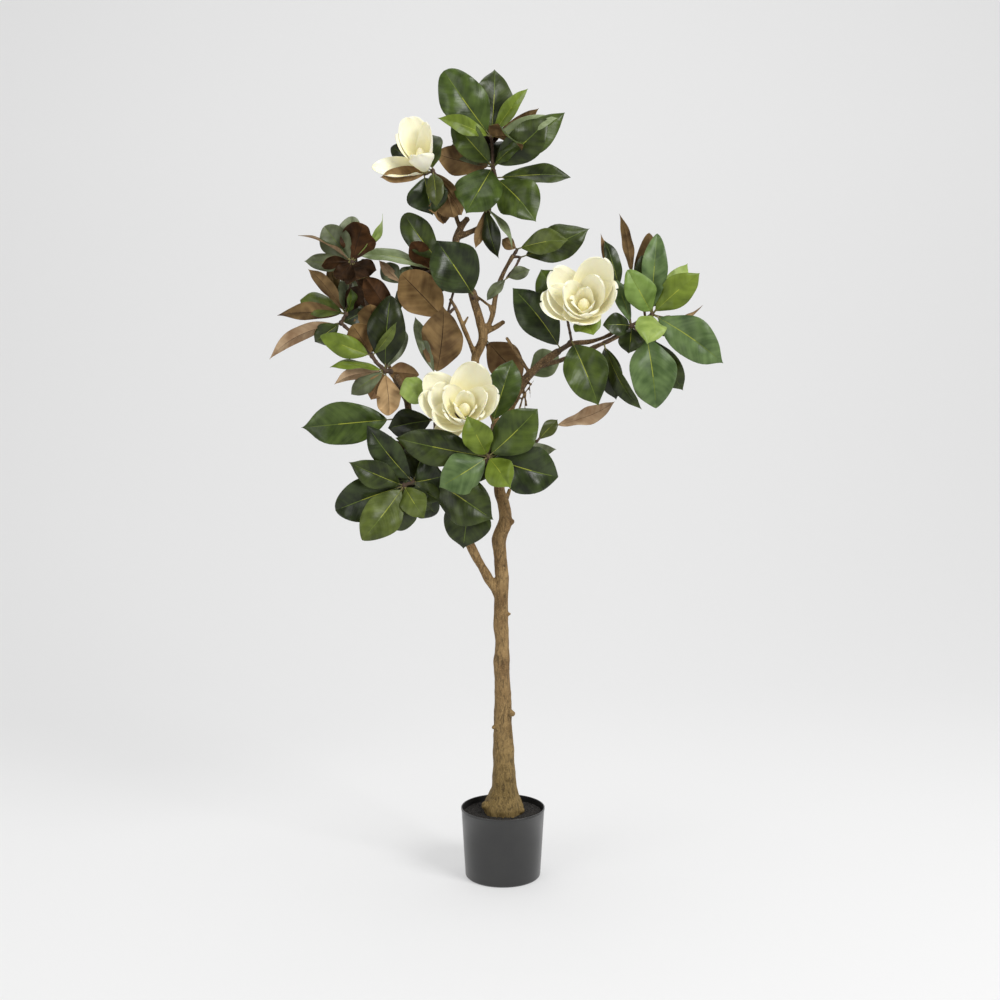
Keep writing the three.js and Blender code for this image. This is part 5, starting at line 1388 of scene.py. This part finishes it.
places, normals = np.empty(len(fused.vertices) * 3), np.empty(len(fused.vertices) * 3)
fused.vertices.foreach_get("co", places)
fused.vertices.foreach_get("normal", normals)
places, normals = places.reshape(-1, 3), normals.reshape(-1, 3)
depths = np.array([barkDepth(*place) for place in places / mm])
places += normals * depths[:, None] * mm
fused.vertices.foreach_set("co", places.ravel())
fused.update()
fused.polygons.foreach_set("use_smooth", [True] * len(fused.polygons))
fused.materials.clear()
fused.materials.append(paintedBark)
barkPiece = addObject("bark_limbs", fused)
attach(barkPiece, "root")
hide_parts("trunk", *boughs)
print("limbs fused, faces:", len(fused.polygons))


pot = {
    "rim": 95, "foot": 85.5, "height": 160, "wall": 2.5, "floor": 6, "corner": 6, "sides": 144,
    "arch": 1.2, "ring": 12,                  # the underside stands up inside a flat ring this wide
    "flare": ((2.4, 46), (5, 92)),            # how far the wall stands out from the foot, at these heights
    "lip": 0.7, "lipHeight": 5,
    "edges": (0.9, 1.0, 0.8),                 # radii of the lip's lower, outer and inner edge
    "fill": 148,
}


# A closed form turned on the upright axis, with one ring of points for each radius and height.
def addLathe(pile, profile, sides, slot):
    points, faces, rings = [], [], []
    turns = [2 * math.pi * k / sides for k in range(sides)]
    for radius, z in profile:
        ring = [(radius * math.cos(t), radius * math.sin(t), z) for t in turns] if radius else [(0, 0, z)]
        rings.append(list(range(len(points), len(points) + len(ring))))
        points += ring
    for low, high in zip(rings, rings[1:]):
        for k in range(sides):
            k2 = (k + 1) % sides
            ring = [low[k % len(low)], low[k2 % len(low)], high[k2 % len(high)], high[k % len(high)]]
            face = [v for n, v in enumerate(ring) if v not in ring[:n]]
            if len(face) > 2:
                faces.append(face)
    addForm(pile, points, faces, [slot] * len(faces))


# Points of an arc between two angles in degrees.
def arc(centre, radius, start, end, steps):
    turns = [math.radians(start + (end - start) * k / steps) for k in range(steps + 1)]
    return [(centre[0] + radius * math.cos(t), centre[1] + radius * math.sin(t)) for t in turns]


# underside, foot, wall and lip, then down the inside and over the floor
rim, foot, height, wall, corner = [pot[k] for k in ("rim", "foot", "height", "wall", "corner")]
lipFoot = height - pot["lipHeight"]
under, outer, inner = pot["edges"]
potProfile = [(0, pot["arch"]), (foot - pot["ring"] - 2, pot["arch"]), (foot - pot["ring"], 0)]
potProfile += arc((foot - corner, corner), corner, -90, -3, 8)
potProfile += [(foot + out, z) for out, z in pot["flare"]]
potProfile += [(rim - pot["lip"] - 0.3, lipFoot - 0.6)]
potProfile += arc((rim - under, lipFoot + 0.6), under, -60, 0, 3)
potProfile += arc((rim - outer, height - outer), outer, 0, 90, 4)
potProfile += arc((rim - wall + inner, height - inner), inner, 90, 180, 3)
potProfile += [(rim - wall - 0.4, height - 8), (foot - wall, pot["floor"] + corner),
               (foot - wall - corner, pot["floor"]), (0, pot["floor"])]
potPile = newPile()
addLathe(potPile, potProfile, pot["sides"], 0)
potPiece = pileObject("pot_shell", potPile, [potPlastic])
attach(potPiece, "root")
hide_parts("pot")

soil = {
    "crumbs": 5200, "smallest": 1.1, "largest": 3.2, "flat": 0.6, "seed": 7, "reach": 89.0,
    "bedSides": 96, "under": 2,      # mm between the bed and the pot's floor
    "slope": 3, "edge": 2.6,         # mm that the bed falls to its edge, and from there to the wall
    "strewn": 3.4,                   # crumbs lie no further down than this
}
top = pot["fill"]
# a point just under the edge keeps the crumbs off the bed's hidden side
soilProfile = [(0, pot["floor"] + soil["under"]), (foot - wall - corner, pot["floor"] + soil["under"]),
               (foot - wall - 1, 16), (rim - wall - soil["edge"] - 0.1, top - soil["strewn"] - 0.2),
               (rim - wall - soil["edge"], top - soil["slope"]), (rim - wall - 6, top - 2), (60, top - 1),
               (0, top)]
soilPile = newPile()
addLathe(soilPile, soilProfile, soil["bedSides"], 0)
soilBed = pileObject("soil_bed", soilPile, [soilPeat])


# Crumbs of peat strewn over the bed.
def crumbTree():
    tree = bpy.data.node_groups.new("peatCrumbs", "GeometryNodeTree")
    for way in ("INPUT", "OUTPUT"):
        tree.interface.new_socket("Geometry", in_out=way, socket_type="NodeSocketGeometry")
    for label in ("Crumbs per square metre", "Smallest", "Largest"):
        tree.interface.new_socket(label, in_out="INPUT", socket_type="NodeSocketFloat")
    tree.interface.new_socket("Seed", in_out="INPUT", socket_type="NodeSocketInt")
    given = addNode(tree, "NodeGroupInput")
    where = addNode(tree, "GeometryNodeInputPosition")
    parts = addNode(tree, "ShaderNodeSeparateXYZ", {}, {"Vector": where.outputs["Position"]})
    onTop = addNode(tree, "FunctionNodeCompare", {"data_type": "FLOAT", "operation": "GREATER_THAN"}, {
        "A": parts.outputs["Z"], "B": (pot["fill"] - soil["strewn"]) * mm,
    })
    spots = addNode(tree, "GeometryNodeDistributePointsOnFaces", {"distribute_method": "RANDOM"}, {
        "Mesh": given.outputs["Geometry"], "Selection": onTop.outputs["Result"],
        "Density": given.outputs["Crumbs per square metre"], "Seed": given.outputs["Seed"],
    })
    crumb = addNode(tree, "GeometryNodeMeshIcoSphere", {}, {"Radius": 1.0, "Subdivisions": 1})
    size = addNode(tree, "FunctionNodeRandomValue", {"data_type": "FLOAT"}, {
        2: given.outputs["Smallest"], 3: given.outputs["Largest"], "Seed": given.outputs["Seed"],
    })
    flatten = addNode(tree, "ShaderNodeCombineXYZ", {}, {"X": 1.0, "Y": 1.0, "Z": soil["flat"]})
    sized = addNode(tree, "ShaderNodeVectorMath", {"operation": "SCALE"}, {
        0: flatten.outputs["Vector"], "Scale": size.outputs[1],
    })
    turned = addNode(tree, "FunctionNodeRandomValue", {"data_type": "FLOAT_VECTOR"}, {
        0: (0.0, 0.0, 0.0), 1: (6.28, 6.28, 6.28), "Seed": given.outputs["Seed"],
    })
    strewn = addNode(tree, "GeometryNodeInstanceOnPoints", {}, {
        "Points": spots.outputs["Points"], "Instance": crumb.outputs["Mesh"],
        "Rotation": turned.outputs[0], "Scale": sized.outputs["Vector"],
    })
    whole = addNode(tree, "GeometryNodeJoinGeometry")
    for part in (strewn.outputs["Instances"], given.outputs["Geometry"]):
        tree.links.new(part, whole.inputs[0])
    real = addNode(tree, "GeometryNodeRealizeInstances", {}, {0: whole.outputs[0]})
    dressed = addNode(tree, "GeometryNodeSetMaterial", {}, {
        "Geometry": real.outputs[0], "Material": soilPeat,
    })
    addNode(tree, "NodeGroupOutput", {}, {0: dressed.outputs[0]})
    return tree


strew = soilBed.modifiers.new("strew", "NODES")
strew.node_group = crumbTree()
bedArea = math.pi * (soil["reach"] * mm) ** 2
inputs = {
    "Crumbs per square metre": soil["crumbs"] / bedArea, "Seed": soil["seed"],
    "Smallest": soil["smallest"] * mm, "Largest": soil["largest"] * mm,
}
for item in strew.node_group.interface.items_tree:
    if item.in_out == "INPUT" and item.name in inputs:
        strew[item.identifier] = inputs[item.name]
soilMesh = settledMesh(soilBed)
soilPiece = addObject("pot_filling", soilMesh)
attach(soilPiece, "root")
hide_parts("pot_fill")
print("pot and filling made, faces:", len(soilMesh.polygons))


studio = {
    "paper": "#afafaf", "glow": 0.42, "glowColour": "#ffffff",      # a paper sweep, faintly lit from behind
    "wallAt": 3.9, "wallHeight": 6.0, "halfWidth": 9.0, "front": -7.0, "bend": 2.2, "bendSteps": 24,
    "world": "#ffffff", "worldStrength": 0.2,
    "lamps": {          # place, size in m and power in W
        "key": ((2.6, -2.6, 3.4), 1.8, 150),
        "fill": ((-3.0, -3.2, 2.2), 2.6, 56),
        "top": ((-0.4, 0.4, 4.6), 3.0, 75),
    },
    "aim": (0, 0, 1.0),
}
cameraAt = {"place": (-0.0066, -3.2, 1.2), "pitch": -6.05, "lens": 52.11, "sensor": 36}

stageMaterial, stageTree, stageShader = newMaterial("paperSweep")      # matt paper, even and pale
feed(stageTree, stageShader, {
    "Base Color": linear(studio["paper"]), "Roughness": 0.9,
    "Emission Color": linear(studio["glowColour"]), "Emission Strength": studio["glow"],
})
bend, wallAt, halfWidth = studio["bend"], studio["wallAt"], studio["halfWidth"]
stagePoints = [(studio["front"], 0.0)]
stagePoints += [(wallAt - bend + bend * math.sin(t), bend - bend * math.cos(t))
                for t in np.linspace(0, math.pi / 2, studio["bendSteps"])]
stagePoints.append((wallAt, studio["wallHeight"]))
stageMesh = bpy.data.meshes.new("paper_sweep")
stageMesh.from_pydata([(x, y, z) for y, z in stagePoints for x in (-halfWidth, halfWidth)], [],
                      [(2 * k, 2 * k + 1, 2 * k + 3, 2 * k + 2) for k in range(len(stagePoints) - 1)])
stageMesh.materials.append(stageMaterial)
stageMesh.polygons.foreach_set("use_smooth", [True] * len(stageMesh.polygons))
sweep = addObject("paper_sweep", stageMesh)

world = bpy.data.worlds.new("studio")
world.use_nodes = True
feed(world.node_tree, world.node_tree.nodes["Background"], {
    "Color": linear(studio["world"]), "Strength": studio["worldStrength"],
})
bpy.context.scene.world = world
for label, (place, size, power) in studio["lamps"].items():
    lamp = bpy.data.lights.new(label, "AREA")
    lamp.size = size
    lamp.energy = power
    holder = addObject(label, lamp)
    holder.location = place
    aim = Vector(studio["aim"]) - holder.location
    holder.rotation_euler = aim.to_track_quat("-Z", "Y").to_euler()

camera = addObject("camera", bpy.data.cameras.new("camera"))
camera.location = cameraAt["place"]
camera.rotation_euler = (math.radians(90 + cameraAt["pitch"]), 0, 0)
camera.data.lens = cameraAt["lens"]
camera.data.sensor_width = cameraAt["sensor"]
bpy.context.scene.camera = camera
bpy.context.scene.view_settings.view_transform = "Standard"
print("studio and camera set")
